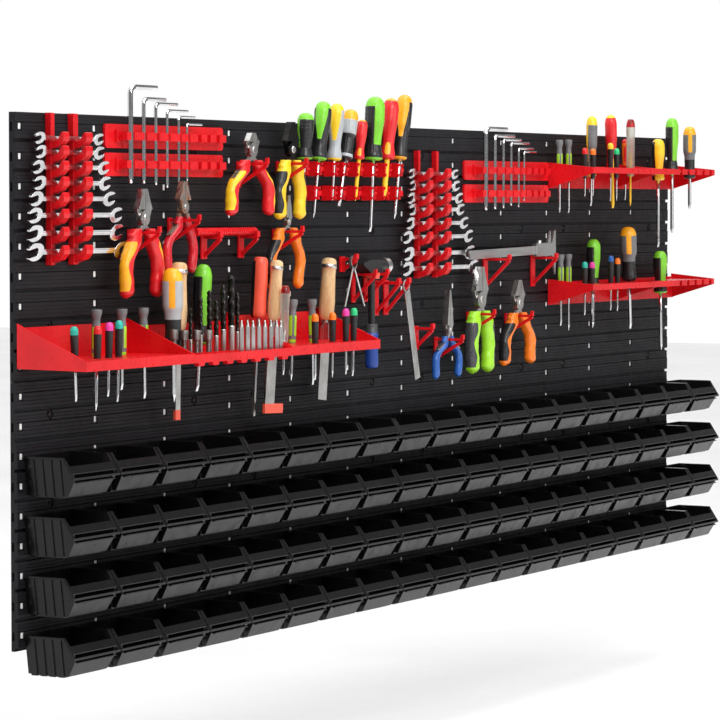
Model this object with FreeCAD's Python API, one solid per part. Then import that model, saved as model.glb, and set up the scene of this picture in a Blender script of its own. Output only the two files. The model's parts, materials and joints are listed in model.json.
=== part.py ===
import FreeCAD, Part
import math
import os

V = FreeCAD.Vector

# A pegboard tool wall: eight screwed panels with rails, bins, racks, shelves, hooks and the tools on them.
# Millimetres. X runs right along the wall, Z up, the wall plane is Y = 0 and the front faces -Y.
# The origin is the centre of the back face.

# --- panels -------------------------------------------------------------------------------------
PANEL_W, PANEL_H = 576.0, 390.0
COLUMNS, RAILS = 4, 9
RAIL_PITCH = PANEL_H / RAILS
LEFT, BOTTOM = -PANEL_W * COLUMNS / 2, -PANEL_H
SEAM = 0.4
BASE_T, RAIL_FACE, UPPER_FACE = 6.5, 12.0, 11.2
LIP_GAP, UPPER_BAND = 5.0, 14.0
RIB_DEPTH, RIB_W = 0.5, 1.2
SLOT_W, SLOT_H, SLOT_DROP, SLOT_FIRST, SLOT_STEP = 9.0, 13.0, 21.0, 10.5, 192.0
TONGUE_L, TONGUE_H = 14.0, 12.0
BOSS_X = (84.0, 480.0)
BOSS_Z = (80.0, 210.0, 340.0)
SCREWED = {"lower": (80.0, 340.0), "upper": (210.0, 340.0)}
BOSS_R, HOLE_R, SCREW_R, SCREW_HEAD_R = 8.0, 2.75, 2.4, 4.8
FACE = -RAIL_FACE - 0.3          # back of everything that hangs on a rail

# --- bins ---------------------------------------------------------------------------------------
BIN_PITCH, BINS_PER_ROW, BIN_ROWS = 124.0, 19, 4
BIN_W, BIN_BASE_W, BIN_WALL = 121.6, 98.0, 2.2
BIN_X0, BIN_TOP, BIN_H = LEFT + 12.0, -107.0, 57.0
BIN_BACK, BIN_SHOULDER, BIN_LIP, BIN_TOE = FACE, -81.0, -99.6, -83.0
BIN_LIP_DROP = 28.5
LOOSE_BINS = {(0, 8): "bin_loose_upper", (2, 12): "bin_loose_lower"}

# --- tools and their holders ---------------------------------------------------------------------
PLIERS_Y, PLIERS_T = -38.0, 5.0
PIVOT_R = 3.0
DRIVER_Y = -30.0
CLIP_ROWS = (315.0, 275.0)
CALIPER_Y, CALIPER_Z, CALIPER_TILT = -36.0, 168.0, 1.2


def box(x0, x1, y0, y1, z0, z1):
    return Part.makeBox(x1 - x0, y1 - y0, z1 - z0, V(x0, y0, z0))


def prism_x(points, x0, x1):
    """Extrudes a polygon of (y, z) points along X."""
    wire = Part.makePolygon([V(x0, y, z) for y, z in points + points[:1]])
    return Part.Face(wire).extrude(V(x1 - x0, 0, 0))


def prism_y(points, y0, y1):
    """Extrudes a polygon of (x, z) points along Y."""
    wire = Part.makePolygon([V(x, y0, z) for x, z in points + points[:1]])
    return Part.Face(wire).extrude(V(0, y1 - y0, 0))


def rod(start, end, radius):
    axis = end.sub(start)
    return Part.makeCylinder(radius, axis.Length, start, axis)


def turned(profile, start, end):
    """Turns (distance, radius) points about the line from start towards end."""
    axis = end.sub(start)
    axis.normalize()
    side = axis.cross(V(0, 1, 0))
    side.normalize()
    outline = [start] + [start.add(axis * d).add(side * r) for d, r in profile]
    outline += [start.add(axis * profile[-1][0]), start]
    face = Part.Face(Part.makePolygon(outline))
    return face.revolve(start, axis, 360)


def ellipse_loft(sections, flat=0.8):
    """Lofts ellipses given as (x, y, z, half width); each is flat times as deep as wide."""
    wires = []
    for x, y, z, r in sections:
        edge = Part.Ellipse(V(x, y, z), r, r * flat).toShape()
        wires.append(Part.Wire([edge]))
    return Part.makeLoft(wires, True, False)


def fuse(shapes):
    whole = shapes[0]
    for shape in shapes[1:]:
        whole = whole.fuse(shape)
    return whole.removeSplitter()


def save(name, shapes):
    whole = shapes[0] if len(shapes) == 1 else Part.makeCompound(shapes)
    whole.exportStep(f"parts/{name}.step")
    print(name, len(whole.Solids), "solids", "valid" if whole.isValid() else "NOT VALID")


# --- wall panels ----------------------------------------------------------------------------------

def rail_outline(top):
    """One rail's front, from its top edge down to the top of the next, as (y, z) points."""
    points = [(-BASE_T, top), (-UPPER_FACE, top)]
    for drop in (4.5, 9.0):
        points += [(-UPPER_FACE, top - drop), (-UPPER_FACE + RIB_DEPTH, top - drop - RIB_W / 2)]
        points += [(-UPPER_FACE, top - drop - RIB_W)]
    points += [(-UPPER_FACE, top - UPPER_BAND), (-UPPER_FACE + 1.4, top - UPPER_BAND - 0.7)]
    points += [(-RAIL_FACE, top - UPPER_BAND - 1.6)]
    low = top - RAIL_PITCH + LIP_GAP
    for drop in (20.5, 26.0, 31.5):
        points += [(-RAIL_FACE, top - drop), (-RAIL_FACE + RIB_DEPTH, top - drop - RIB_W / 2)]
        points += [(-RAIL_FACE, top - drop - RIB_W)]
    points += [(-RAIL_FACE, low + 0.8), (-RAIL_FACE + 0.8, low), (-BASE_T, low)]
    return points


def panel():
    """One panel with its lower left corner at the origin."""
    front = [(0.0, PANEL_H - SEAM)]
    for i in range(RAILS):
        front += rail_outline(PANEL_H - SEAM - i * RAIL_PITCH)
    front += [(-BASE_T, 0.0), (0.0, 0.0)]
    body = prism_x(front, 0.0, PANEL_W - SEAM)
    cuts, tongues = [], []
    for i in range(RAILS):
        top = PANEL_H - i * RAIL_PITCH
        for k in range(3):
            x = SLOT_FIRST + k * SLOT_STEP
            z = top - SLOT_DROP
            cuts.append(box(x - SLOT_W / 2, x + SLOT_W / 2, -20, 5, z - SLOT_H / 2, z + SLOT_H / 2))
        z = top - RAIL_PITCH / 2
        cuts.append(box(-1, TONGUE_L + 1, -5.4, -1.6, z - TONGUE_H / 2 - 0.5, z + TONGUE_H / 2 + 0.5))
        tongues.append(box(PANEL_W - 8, PANEL_W + TONGUE_L - 0.5, -5.0, -2.0,
                           z - TONGUE_H / 2, z + TONGUE_H / 2))
    for x in BOSS_X:
        for z in BOSS_Z:
            cuts.append(Part.makeCylinder(BOSS_R, 20, V(x, -9.0, z), V(0, -1, 0)))
            cuts.append(Part.makeCylinder(HOLE_R, 30, V(x, 5, z), V(0, -1, 0)))
    body = body.cut(Part.makeCompound(cuts))
    return body.fuse(tongues)


def panels():
    one = panel()
    for row, z in (("lower", BOTTOM), ("upper", 0.0)):
        placed = [one.copy() for _ in range(COLUMNS)]
        for column, shape in enumerate(placed):
            shape.translate(V(LEFT + column * PANEL_W, 0, z))
        save(f"panels_{row}", placed)


def wall_screws():
    """Pan-head screws whose shanks end flush with the panels' back."""
    screws = []
    for row, z0 in (("lower", BOTTOM), ("upper", 0.0)):
        for column in range(COLUMNS):
            for dx in BOSS_X:
                for dz in SCREWED[row]:
                    at = V(LEFT + column * PANEL_W + dx, -9.0, z0 + dz)
                    shank = Part.makeCylinder(SCREW_R, 9.0, at, V(0, 1, 0))
                    head = Part.makeCone(SCREW_HEAD_R, SCREW_HEAD_R * 0.7, 2.6, at, V(0, -1, 0))
                    cross = box(at.x - 2.6, at.x + 2.6, at.y - 3, at.y - 1.2, at.z - 0.5, at.z + 0.5)
                    cross = cross.fuse(box(at.x - 0.5, at.x + 0.5, at.y - 3, at.y - 1.2,
                                           at.z - 2.6, at.z + 2.6))
                    screws.append(fuse([shank, head]).cut(cross))
    save("wall_screws", screws)


# --- bins -----------------------------------------------------------------------------------------

def taper(half_top, half_base, top, base):
    """A prism along Y with a trapezoid section, wide at the top."""
    points = [(-half_base, base), (half_base, base), (half_top, top), (-half_top, top)]
    return prism_y(points, -150.0, 0.0)


def bin_side(inset=0.0, top=0.0):
    """The bin's side outline as (y, z), drawn inset from the true one."""
    return [(BIN_BACK - inset, top), (BIN_SHOULDER, top),
            (BIN_LIP + inset, top - BIN_LIP_DROP), (BIN_TOE + inset, -BIN_H + inset),
            (BIN_BACK - inset, -BIN_H + inset)]


def bin_shape():
    """One storage bin, centred on X, with its rim at Z = 0."""
    half, base = BIN_W / 2, BIN_BASE_W / 2
    wide = 12.0
    shell = prism_x(bin_side(), -half, half).common(taper(half - 3.0, base, 0.0, -BIN_H))
    pads = []
    for y in (-24.0, -39.5, -55.0, -70.5):
        pads.append(box(-half, half, y - 5.2, y + 5.2, -BIN_H - 2.0, -2.0))
    fat = prism_x([(BIN_BACK, 0), (BIN_SHOULDER, 0), (BIN_SHOULDER, -BIN_H - 2.0),
                   (BIN_BACK, -BIN_H - 2.0)], -half, half)
    pads = fat.common(taper(half - 1.2, base + 1.8, 0.0, -BIN_H - 2.0)).common(Part.makeCompound(pads))
    rim = [(BIN_BACK, 0.0), (BIN_SHOULDER, 0.0), (BIN_LIP, -BIN_LIP_DROP),
           (BIN_LIP + 2.6, -BIN_LIP_DROP - 3.2), (BIN_SHOULDER + 1.6, -3.2), (BIN_BACK, -3.2)]
    label_lip = box(-half, half, BIN_LIP - 0.6, BIN_LIP + 5.0, -BIN_LIP_DROP - 3.6, -BIN_LIP_DROP)
    label_foot = box(-half + wide, half - wide, BIN_LIP - 0.8, BIN_LIP + 5.0,
                     -BIN_LIP_DROP - 8.2, -BIN_LIP_DROP - 6.4)
    tabs = [box(x - 6, x + 6, BIN_BACK - 1.0, BIN_BACK + 4.0, -22.8, -19.6) for x in (-34.0, 34.0)]
    outer = fuse([shell, pads, prism_x(rim, -half, half), label_lip, label_foot])
    inner = prism_x([(BIN_BACK - BIN_WALL, 5.0), (BIN_SHOULDER - 1.2, 5.0), (BIN_SHOULDER - 1.2, 0.0),
                     (BIN_LIP + BIN_WALL, -BIN_LIP_DROP + 1.0), (BIN_TOE + BIN_WALL, -BIN_H + BIN_WALL),
                     (BIN_BACK - BIN_WALL, -BIN_H + BIN_WALL)], -half, half)
    inner = inner.common(taper(half - 3.0 - BIN_WALL, base - BIN_WALL, 5.0, -BIN_H))
    front_gap = box(-half + 4.4, half - 4.4, BIN_LIP - 2.0, BIN_LIP + 4.0, -BIN_LIP_DROP, 6.0)
    return fuse([outer.cut(inner.fuse(front_gap))] + tabs)


def bins():
    one = bin_shape()
    for row in range(BIN_ROWS):
        kept = []
        for k in range(BINS_PER_ROW):
            placed = one.copy()
            placed.translate(V(BIN_X0 + (k + 0.5) * BIN_PITCH, 0, BIN_TOP - row * 2 * RAIL_PITCH))
            if (row, k) in LOOSE_BINS:
                save(LOOSE_BINS[(row, k)], [placed])
            else:
                kept.append(placed)
        save(f"bin_row_{row + 1}", kept)


# --- racks and wrenches ---------------------------------------------------------------------------

# left end, right end and height of each wrench's centre line, with its jaw size
WRENCHES_LEFT = ((-1123, -947, 353, 8), (-1121, -945, 333, 9), (-1129, -933, 311, 9.5),
                 (-1126, -929, 288, 10), (-1135, -917, 265, 10.5), (-1139, -898, 241, 11),
                 (-1140, -896, 215, 12), (-1141, -882, 188, 13))
WRENCHES_RIGHT = ((10, 194, 310, 8), (14, 200, 289, 9), (7, 212, 267, 9.5), (12, 218, 247, 10),
                  (2, 233, 223, 10.5), (-10, 251, 199, 11), (-7, 257, 170, 12), (-12, 272, 144, 12.5))
WRENCH_Y, FINGER_Y = -24.6, -31.0


def wrench(x0, x1, z, jaw):
    """A double open-ended wrench lying along X, its flat side to the wall."""
    thick = 3.6 + jaw * 0.12
    head_r = jaw * 0.9 + 1.0
    shank_h = 3.0 + jaw * 0.33
    y0, y1 = WRENCH_Y - thick / 2, WRENCH_Y + thick / 2
    body = [box(x0 + head_r, x1 - head_r, y0 + 0.6, y1 - 0.6, z - shank_h / 2, z + shank_h / 2)]
    for x, way in ((x0 + head_r, -1), (x1 - head_r, 1)):
        head = Part.makeCylinder(head_r, thick, V(x, y0, z), V(0, 1, 0))
        tilt = 15.0 * way
        mouth = box(-jaw * 0.15, head_r * 2, y0 - 1, y1 + 1, -jaw / 2, jaw / 2)
        mouth = mouth.fuse(Part.makeCylinder(jaw / 2, thick + 2, V(-jaw * 0.15, y0 - 1, 0), V(0, 1, 0)))
        if way < 0:
            mouth.rotate(V(0, 0, 0), V(0, 1, 0), 180)
        mouth.rotate(V(0, 0, 0), V(0, 1, 0), tilt)
        mouth.translate(V(x + way * jaw * 0.1, 0, z))
        body.append(head.cut(mouth))
        root = box(min(x, x - way * head_r), max(x, x - way * head_r), y0 + 0.3, y1 - 0.3,
                   z - shank_h * 0.75, z + shank_h * 0.75)
        body.append(root.cut(mouth))
    return fuse(body)


def rack_bar(x, width, low, high, wrenches):
    """A wall bar with one upturned finger under each wrench and one below the last."""
    shapes = [box(x, x + width, FACE - 4.0, FACE, low, high)]
    for _, _, z, jaw in wrenches:
        seat = z - (3.0 + jaw * 0.33) / 2 - 0.35
        finger = [(FACE - 3.0, seat - 12.0), (FACE - 3.0, seat), (FINGER_Y - 5.5, seat),
                  (FINGER_Y - 8.0, seat + 9.0), (FINGER_Y - 12.5, seat + 10.5),
                  (FINGER_Y - 13.5, seat - 1.0), (FINGER_Y - 8.0, seat - 4.5)]
        shapes.append(prism_x(finger, x, x + width))
    return fuse(shapes)


def wrench_racks():
    bars = [rack_bar(x, width, 168, 390, WRENCHES_LEFT) for x, width in ((-1077, 17), (-1019, 20))]
    bars += [rack_bar(x, width, 126, 350, WRENCHES_RIGHT) for x, width in ((54, 16), (121, 18))]
    save("wrench_racks", bars)
    save("wrenches", [wrench(*w) for w in WRENCHES_LEFT + WRENCHES_RIGHT[1:]])
    save("wrench_loose", [wrench(*WRENCHES_RIGHT[0])])


# --- hex keys and their rails ---------------------------------------------------------------------

# place, top, bottom, reach of the short arm and width across flats of each key
KEYS_LEFT = ((-880, 437, 287, 72, 7.5), (-844, 419, 287, 61, 6.0), (-810, 412, 285, 61, 5.0),
             (-778, 402, 281, 59, 4.5), (-745, 393, 289, 47, 4.0), (-721, 382, 292, 43, 3.5))
KEYS_RIGHT = ((295, 397, 244, 84, 7.5), (332, 384, 246, 78, 6.0), (366, 377, 248, 72, 5.0),
              (398, 371, 253, 73, 4.5), (429, 361, 250, 60, 4.0), (452, 355, 262, 50, 3.5))
KEY_Y = -30.0


def hexagon(radius, centre, normal):
    """A hexagon wire about centre; normal is 'z' or 'x'."""
    points = []
    for i in range(7):
        a = math.radians(60 * i)
        if normal == "z":
            points.append(V(centre.x + radius * math.cos(a), centre.y + radius * math.sin(a), centre.z))
        else:
            points.append(V(centre.x, centre.y + radius * math.cos(a), centre.z + radius * math.sin(a)))
    return Part.Face(Part.makePolygon(points))


def hex_key(x, top, bottom, reach, flats):
    """A long arm down, a tight bend and a short arm to the right, with a ball at the foot."""
    r = flats / 2 / math.cos(math.radians(30))
    bend = flats * 1.4
    z = top - flats / 2
    foot = V(x, KEY_Y, bottom + flats)
    long_arm = hexagon(r, foot, "z").extrude(V(0, 0, z - bend - foot.z))
    elbow = hexagon(r, V(x, KEY_Y, z - bend), "z").revolve(V(x + bend, KEY_Y, z - bend), V(0, 1, 0), 90)
    short_arm = hexagon(r, V(x + bend, KEY_Y, z), "x").extrude(V(reach - bend, 0, 0))
    neck = Part.makeCylinder(flats * 0.33, flats * 0.7, V(x, KEY_Y, bottom + flats * 0.5))
    ball = Part.makeSphere(flats * 0.5, V(x, KEY_Y, bottom + flats * 0.5))
    return long_arm.fuse([elbow, short_arm, neck, ball])


def key_rail(x0, x1, z0, z1, bar, keys):
    """A rounded plate with a raised bar across the keys, notched for each of them."""
    plate = box(x0, x1, FACE - 4.0, FACE, z0, z1)
    corners = [e for e in plate.Edges if abs(e.Vertexes[0].Y - e.Vertexes[1].Y) > 3.0]
    plate = plate.makeFillet(6.0, corners)
    mid = (z0 + z1) / 2
    shapes = [plate, box(bar[0], bar[1], -35.0, FACE - 3.0, mid - 6.0, mid + 6.0)]
    shapes.append(box(bar[0] - 6, bar[1] + 6, FACE - 8.0, FACE - 3.0, mid - 9.0, mid + 9.0))
    whole = fuse(shapes)
    for x, _, _, _, flats in keys:
        gap = flats / 2 / math.cos(math.radians(30)) + 0.4
        whole = whole.cut(box(x - gap, x + gap, -40.0, KEY_Y + gap, mid - 12.0, mid + 12.0))
    return whole


def hex_keys():
    rails = [key_rail(-928, -592, 341, 377, (-896, -700), KEYS_LEFT),
             key_rail(-928, -592, 299, 334, (-896, -700), KEYS_LEFT),
             key_rail(238, 584, 300, 335, (276, 470), KEYS_RIGHT),
             key_rail(238, 584, 259, 292, (276, 470), KEYS_RIGHT)]
    save("hex_key_rails", rails)
    save("hex_keys", [hex_key(*k) for k in KEYS_LEFT + KEYS_RIGHT])


# --- screwdrivers ---------------------------------------------------------------------------------

# profiles of turned handles: (fraction of the length from the foot, fraction of the full radius)
SLIM = ((0.0, 0.62), (0.08, 0.80), (0.80, 1.0), (0.93, 1.0), (1.0, 0.55))
WAISTED = ((0.0, 0.92), (0.06, 1.0), (0.24, 0.74), (0.38, 0.80), (0.62, 1.0), (0.86, 1.0), (0.96, 0.78),
           (1.0, 0.40))
TOPPED = ((0.0, 0.85), (0.05, 0.92), (0.2, 0.78), (0.45, 0.80), (0.5, 0.98), (0.86, 1.0), (0.96, 0.80),
          (1.0, 0.42))
FLARED = ((0.0, 0.60), (0.08, 0.80), (0.60, 0.84), (0.78, 0.66), (0.90, 0.98), (1.0, 1.0))
CAPPED = ((0.0, 0.70), (0.1, 0.92), (0.72, 0.92), (0.74, 1.0), (0.92, 1.0), (1.0, 0.60))
BLADED = ((0.0, 0.80), (0.05, 1.0), (0.35, 0.95), (0.6, 1.0), (0.9, 0.96), (0.97, 0.86), (1.0, 0.7))

# on the clip rails: top of the handle, foot of the shaft, handle length, handle and shaft radius
CLIP_DRIVERS = ((-354, 406, -362, 296, 76, 14.0, 2.6, WAISTED), (-295, 426, -331, 234, 98, 14.5, 3.0, WAISTED),
                (-250, 424, -269, 263, 95, 13.0, 3.0, WAISTED), (-202, 415, -244, 253, 86, 13.5, 3.0, TOPPED),
                (-163, 399, -190, 262, 68, 9.5, 3.4, WAISTED), (-118, 439, -138, 209, 108, 17.0, 3.6, WAISTED),
                (-61, 438, -88, 270, 106, 14.0, 4.8, WAISTED), (-12, 445, -52, 231, 113, 14.5, 3.6, TOPPED))

# in the shelves: handle top, shaft foot, distance from the wall, handle length, radii
SHELF_DRIVERS = (
    # left shelf
    (-1106, 81, -1101, -28, 80, 62, 6.2, 2.0, SLIM), (-982, 102, -986, -50, 36, 74, 8.6, 2.6, FLARED),
    (-1044, 80, -1050, -44, 80, 62, 6.2, 2.0, SLIM), (-1014, 84, -1018, -25, 80, 62, 6.2, 2.0, SLIM),
    (-988, 86, -993, -34, 80, 62, 6.2, 2.0, SLIM), (-914, 101, -915, -22, 36, 74, 8.6, 2.6, FLARED),
    (-855, 101, -852, -38, 36, 74, 8.6, 2.6, FLARED), (-820, 160, -817, -44, 66, 122, 16.0, 3.4, TOPPED),
    (-679, 163, -700, -35, 34, 126, 14.5, 3.4, WAISTED), (-511, 127, -518, -16, 83, 92, 7.4, 1.8, CAPPED),
    (-448, 103, -455, -29, 60, 74, 8.0, 2.4, FLARED), (-387, 102, -384, -39, 60, 74, 8.0, 2.4, FLARED),
    (-446, 80, -446, -27, 100, 62, 6.0, 2.0, SLIM), (-371, 80, -373, -27, 90, 62, 6.0, 2.0, SLIM),
    (-352, 86, -352, -22, 104, 62, 6.0, 2.0, SLIM), (-321, 86, -326, -26, 102, 62, 6.0, 2.0, SLIM),
    # upper right shelf
    (603, 378, 604, 239, 30, 74, 7.2, 2.4, FLARED), (643, 379, 644, 239, 30, 74, 7.2, 2.4, FLARED),
    (726, 425, 722, 252, 40, 116, 11.0, 2.8, TOPPED), (824, 430, 836, 248, 34, 112, 11.8, 3.6, WAISTED),
    (653, 363, 653, 271, 60, 58, 5.8, 1.8, SLIM), (689, 362, 689, 272, 60, 58, 5.8, 1.8, SLIM),
    (764, 374, 764, 262, 62, 58, 5.8, 1.8, SLIM), (792, 364, 792, 262, 62, 58, 5.8, 1.8, SLIM),
    (857, 422, 857, 252, 62, 112, 8.8, 2.0, CAPPED), (898, 384, 898, 264, 32, 66, 7.0, 2.0, SLIM),
    (971, 385, 973, 170, 70, 82, 13.0, 3.4, WAISTED), (1039, 428, 1041, 198, 70, 112, 13.2, 3.4, WAISTED),
    (1104, 412, 1106, 246, 80, 104, 13.2, 3.4, TOPPED),
    # lower right shelf
    (610, 161, 611, 24, 30, 70, 7.2, 2.4, FLARED), (644, 161, 645, 14, 30, 70, 7.2, 2.4, FLARED),
    (654, 146, 654, 44, 60, 58, 5.8, 1.8, SLIM), (686, 145, 686, 43, 60, 58, 5.8, 1.8, SLIM),
    (748, 188, 744, 16, 34, 98, 13.8, 3.2, WAISTED), (763, 156, 763, 50, 64, 58, 5.8, 1.8, SLIM),
    (794, 151, 794, 48, 64, 58, 5.8, 1.8, SLIM), (872, 211, 886, 10, 50, 106, 16.6, 3.4, TOPPED),
    (1005, 162, 1012, -37, 60, 84, 14.0, 3.2, WAISTED))
LOOSE_DRIVER = 26                # the yellow and black screwdriver of the upper right shelf


def driver(top, foot, handle_l, handle_r, shaft_r, profile):
    """Returns a screwdriver's handle and shaft, both along the line from foot to top."""
    axis = top.sub(foot)
    length = axis.Length
    axis.normalize()
    start = foot.add(axis * (length - handle_l))
    outline = [(handle_l * f, handle_r * r) for f, r in profile]
    socket = rod(start.sub(axis), start.add(axis * handle_l * 0.4), shaft_r)
    handle = turned(outline, start, top).cut(socket)
    shaft = rod(foot, start.add(axis * handle_l * 0.4), shaft_r)
    return handle, shaft


def clip_rail(z):
    """A chain of H-shaped clips, one at each screwdriver's shaft, joined by a back strip."""
    places = []
    for x0, z0, x1, z1, _, _, shaft_r, _ in CLIP_DRIVERS:
        if z > z1:
            lean = (x0 - x1) / (z0 - z1)
            places.append((x1 + lean * (z - z1), lean, shaft_r))
    left = min(x for x, _, _ in places) - 10
    shapes = [box(left, 8, FACE - 3.0, FACE, z - 5.0, z + 5.0)]
    holes = []
    for x, lean, shaft_r in places:
        wide = shaft_r + 1.2
        shapes.append(box(x - 8.0, x + 8.0, FACE - 6.0, FACE - 2.0, z - 12.5, z + 12.5))
        for dz in (-8.5, 8.5):
            at = x + lean * dz
            shapes.append(box(at - wide - 2.2, at + wide + 2.2, DRIVER_Y - 5.5, FACE - 5.0,
                              z + dz - 2.2, z + dz + 2.2))
            holes.append(box(at - wide, at + wide, DRIVER_Y - 9.0, DRIVER_Y + wide,
                             z + dz - 4.0, z + dz + 4.0))
        shapes.append(box(x - wide - 3.4, x - wide, DRIVER_Y - 3.0, FACE - 5.0, z - 12.0, z + 12.0))
        shapes.append(box(x + wide, x + wide + 2.2, DRIVER_Y - 3.0, FACE - 5.0, z - 9.0, z + 9.0))
        shapes.append(box(x + wide, x + wide + 9.0, DRIVER_Y - 3.0, DRIVER_Y + 1.0, z - 2.0, z + 2.0))
        holes.append(rod(V(x - lean * 20, DRIVER_Y, z - 20), V(x + lean * 20, DRIVER_Y, z + 20),
                         shaft_r + 0.3))
    return fuse(shapes).cut(Part.makeCompound(holes))


def screwdrivers():
    handles, shafts = [], []
    for x0, z0, x1, z1, length, handle_r, shaft_r, profile in CLIP_DRIVERS:
        handle, shaft = driver(V(x0, DRIVER_Y, z0), V(x1, DRIVER_Y, z1), length, handle_r, shaft_r, profile)
        handles.append(handle)
        shafts.append(shaft)
    save("clip_driver_handles", handles)
    save("clip_driver_shafts", shafts)
    save("screwdriver_clip_rails", [clip_rail(z) for z in CLIP_ROWS])
    handles, shafts = [], []
    for i, (x0, z0, x1, z1, out, length, handle_r, shaft_r, profile) in enumerate(SHELF_DRIVERS):
        handle, shaft = driver(V(x0, -out, z0), V(x1, -out, z1), length, handle_r, shaft_r, profile)
        if i == LOOSE_DRIVER:
            save("screwdriver_loose_handle", [handle])
            save("screwdriver_loose_shaft", [shaft])
        else:
            handles.append(handle)
            shafts.append(shaft)
    save("shelf_driver_handles", handles)
    save("shelf_driver_shafts", shafts)


# --- files, chisels, drills and bits --------------------------------------------------------------

# handle top, blade foot, distance from the wall, handle length, handle radius, blade width, thickness
BLADED_TOOLS = ((-769, 168, -777, -74, 46, 106, 14.0, 13.0, 3.6), (-516, 172, -540, -82, 40, 98, 13.0, 5.0, 4.0),
                (-502, 167, -530, -76, 62, 98, 11.5, 28.0, 3.6), (-284, 167, -311, -68, 34, 104, 14.0, 28.0, 3.4))
DRILLS = ((-769, 98, 3.0), (-740, 115, 3.5), (-714, 124, 4.0), (-694, 108, 4.0), (-673, 132, 4.5),
          (-649, 146, 5.5), (-631, 119, 3.5))
SOCKETS = ((-850, 68), (-822, 66), (-786, 65), (-752, 64))
BITS = ((-704, 78), (-686, 78), (-670, 77), (-652, 77), (-634, 76), (-616, 76), (-598, 75), (-585, 74))
DRILL_Y, SOCKET_Y, BIT_Y = -66.0, -88.0, -118.0


def bladed_tools():
    handles, blades = [], []
    for x0, z0, x1, z1, out, length, r, width, thick in BLADED_TOOLS:
        top, foot = V(x0, -out, z0), V(x1, -out, z1)
        axis = top.sub(foot)
        total = axis.Length
        axis.normalize()
        start = foot.add(axis * (total - length))
        tang_l = length * 0.45
        blade = box(-width / 2, width / 2, -thick / 2, thick / 2, 0, total - length - 14.0)
        neck = prism_y([(-width / 2, total - length - 14.5), (width / 2, total - length - 14.5),
                        (3.0, total - length), (3.0, total - length + tang_l),
                        (-3.0, total - length + tang_l), (-3.0, total - length)], -1.6, 1.6)
        blade = fuse([blade, neck])
        lean = math.degrees(math.atan2(x0 - x1, z0 - z1))
        blade.rotate(V(0, 0, 0), V(0, 1, 0), lean)
        blade.translate(foot)
        outline = [(length * f, r * k) for f, k in BLADED]
        handles.append(turned(outline, start, top).cut(blade))
        blades.append(blade)
    save("file_handles", handles)
    save("file_blades", blades)


def small_bits(deck):
    """Twist drills, socket bits and driver bits, each standing on the bit shelf's deck."""
    drills = []
    for x, top, r in DRILLS:
        shank = Part.makeCylinder(r, (top - deck) * 0.4, V(x, DRILL_Y, deck))
        flutes = Part.makeCylinder(r, (top - deck) * 0.6 - r, V(x, DRILL_Y, deck + (top - deck) * 0.4))
        tip = Part.makeCone(r, 0.3, r, V(x, DRILL_Y, top - r))
        drills.append(fuse([shank, flutes, tip]))
    save("twist_drills", drills)
    bits = []
    for x, top in SOCKETS:
        stem = Part.makeCylinder(4.0, top - deck - 15.0, V(x, SOCKET_Y, deck))
        head = Part.makeCylinder(6.6, 15.0, V(x, SOCKET_Y, top - 15.0))
        mouth = Part.makeCylinder(4.2, 8.0, V(x, SOCKET_Y, top - 8.0))
        bits.append(fuse([stem, head]).cut(mouth))
    save("nut_driver_bits", bits)
    bits = []
    for x, top in BITS:
        stem = hexagon(3.7, V(x, BIT_Y, deck), "z").extrude(V(0, 0, top - deck - 10.0))
        point = Part.makeCone(3.0, 1.2, 10.0, V(x, BIT_Y, top - 10.0))
        bits.append(stem.fuse(point))
    save("driver_bits", bits)


# --- shelves --------------------------------------------------------------------------------------

def shelf_frame(x0, x1, back_z, front_z, front_y, top):
    """A shelf section: back plate, deck, front band and one gusset at each end."""
    wall = FACE
    side = [(wall, back_z[0]), (wall, back_z[1]), (front_y, front_z[1]), (front_y, front_z[0])]
    return [box(x0, x1, wall - 3.0, wall, back_z[0], back_z[1] - 6.0),
            box(x0, x1, front_y, wall, top - 3.0, top),
            box(x0, x1, front_y, front_y + 3.0, front_z[0], front_z[1]),
            prism_x(side, x0, x0 + 3.0), prism_x(side, x1 - 3.0, x1)]


def clearances():
    """Fat copies of the shelved tools, as holes for the shelves."""
    tools = []
    for x0, z0, x1, z1, out, length, handle_r, _, profile in SHELF_DRIVERS:
        top, foot = V(x0, -out, z0), V(x1, -out, z1)
        axis = top.sub(foot)
        length_all = axis.Length
        axis.normalize()
        start = foot.add(axis * (length_all - length - 3.0))
        tools.append(rod(start, top, handle_r + 0.6))
        tools.append(rod(foot, top, 5.6))
    for x0, z0, x1, z1, out, length, r, width, thick in BLADED_TOOLS:
        slot = box(-width / 2 - 1.2, width / 2 + 1.2, -thick / 2 - 1.2, thick / 2 + 1.2, -5.0, 260.0)
        slot.rotate(V(0, 0, 0), V(0, 1, 0), math.degrees(math.atan2(x0 - x1, z0 - z1)))
        slot.translate(V(x1, -out, z1))
        tools.append(slot)
        tools.append(rod(V(x0 - (x0 - x1) * (length + 3.0) / (z0 - z1), -out, z0 - length - 3.0),
                         V(x0, -out, z0), r + 0.6))
    return tools


def spare_holes(x0, x1, front_y, z, tools):
    """A grid of round and oblong holes where no tool stands."""
    cuts = []
    columns = int((x1 - x0 - 30) // 26)
    for i in range(columns):
        x = x0 + 22 + i * 26
        for y, r in ((-28.0, 3.6), (front_y + 34.0, 5.0), (front_y + 14.0, 4.0)):
            hole = Part.makeCylinder(r, 8.0, V(x, y, z - 5.5))
            near = box(x - r - 3, x + r + 3, y - r - 3, y + r + 3, z - 4.0, z + 1.0)
            if all(not near.BoundBox.intersect(t.BoundBox) or near.distToShape(t)[0] > 0.1 for t in tools):
                cuts.append(hole)
    return cuts


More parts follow.
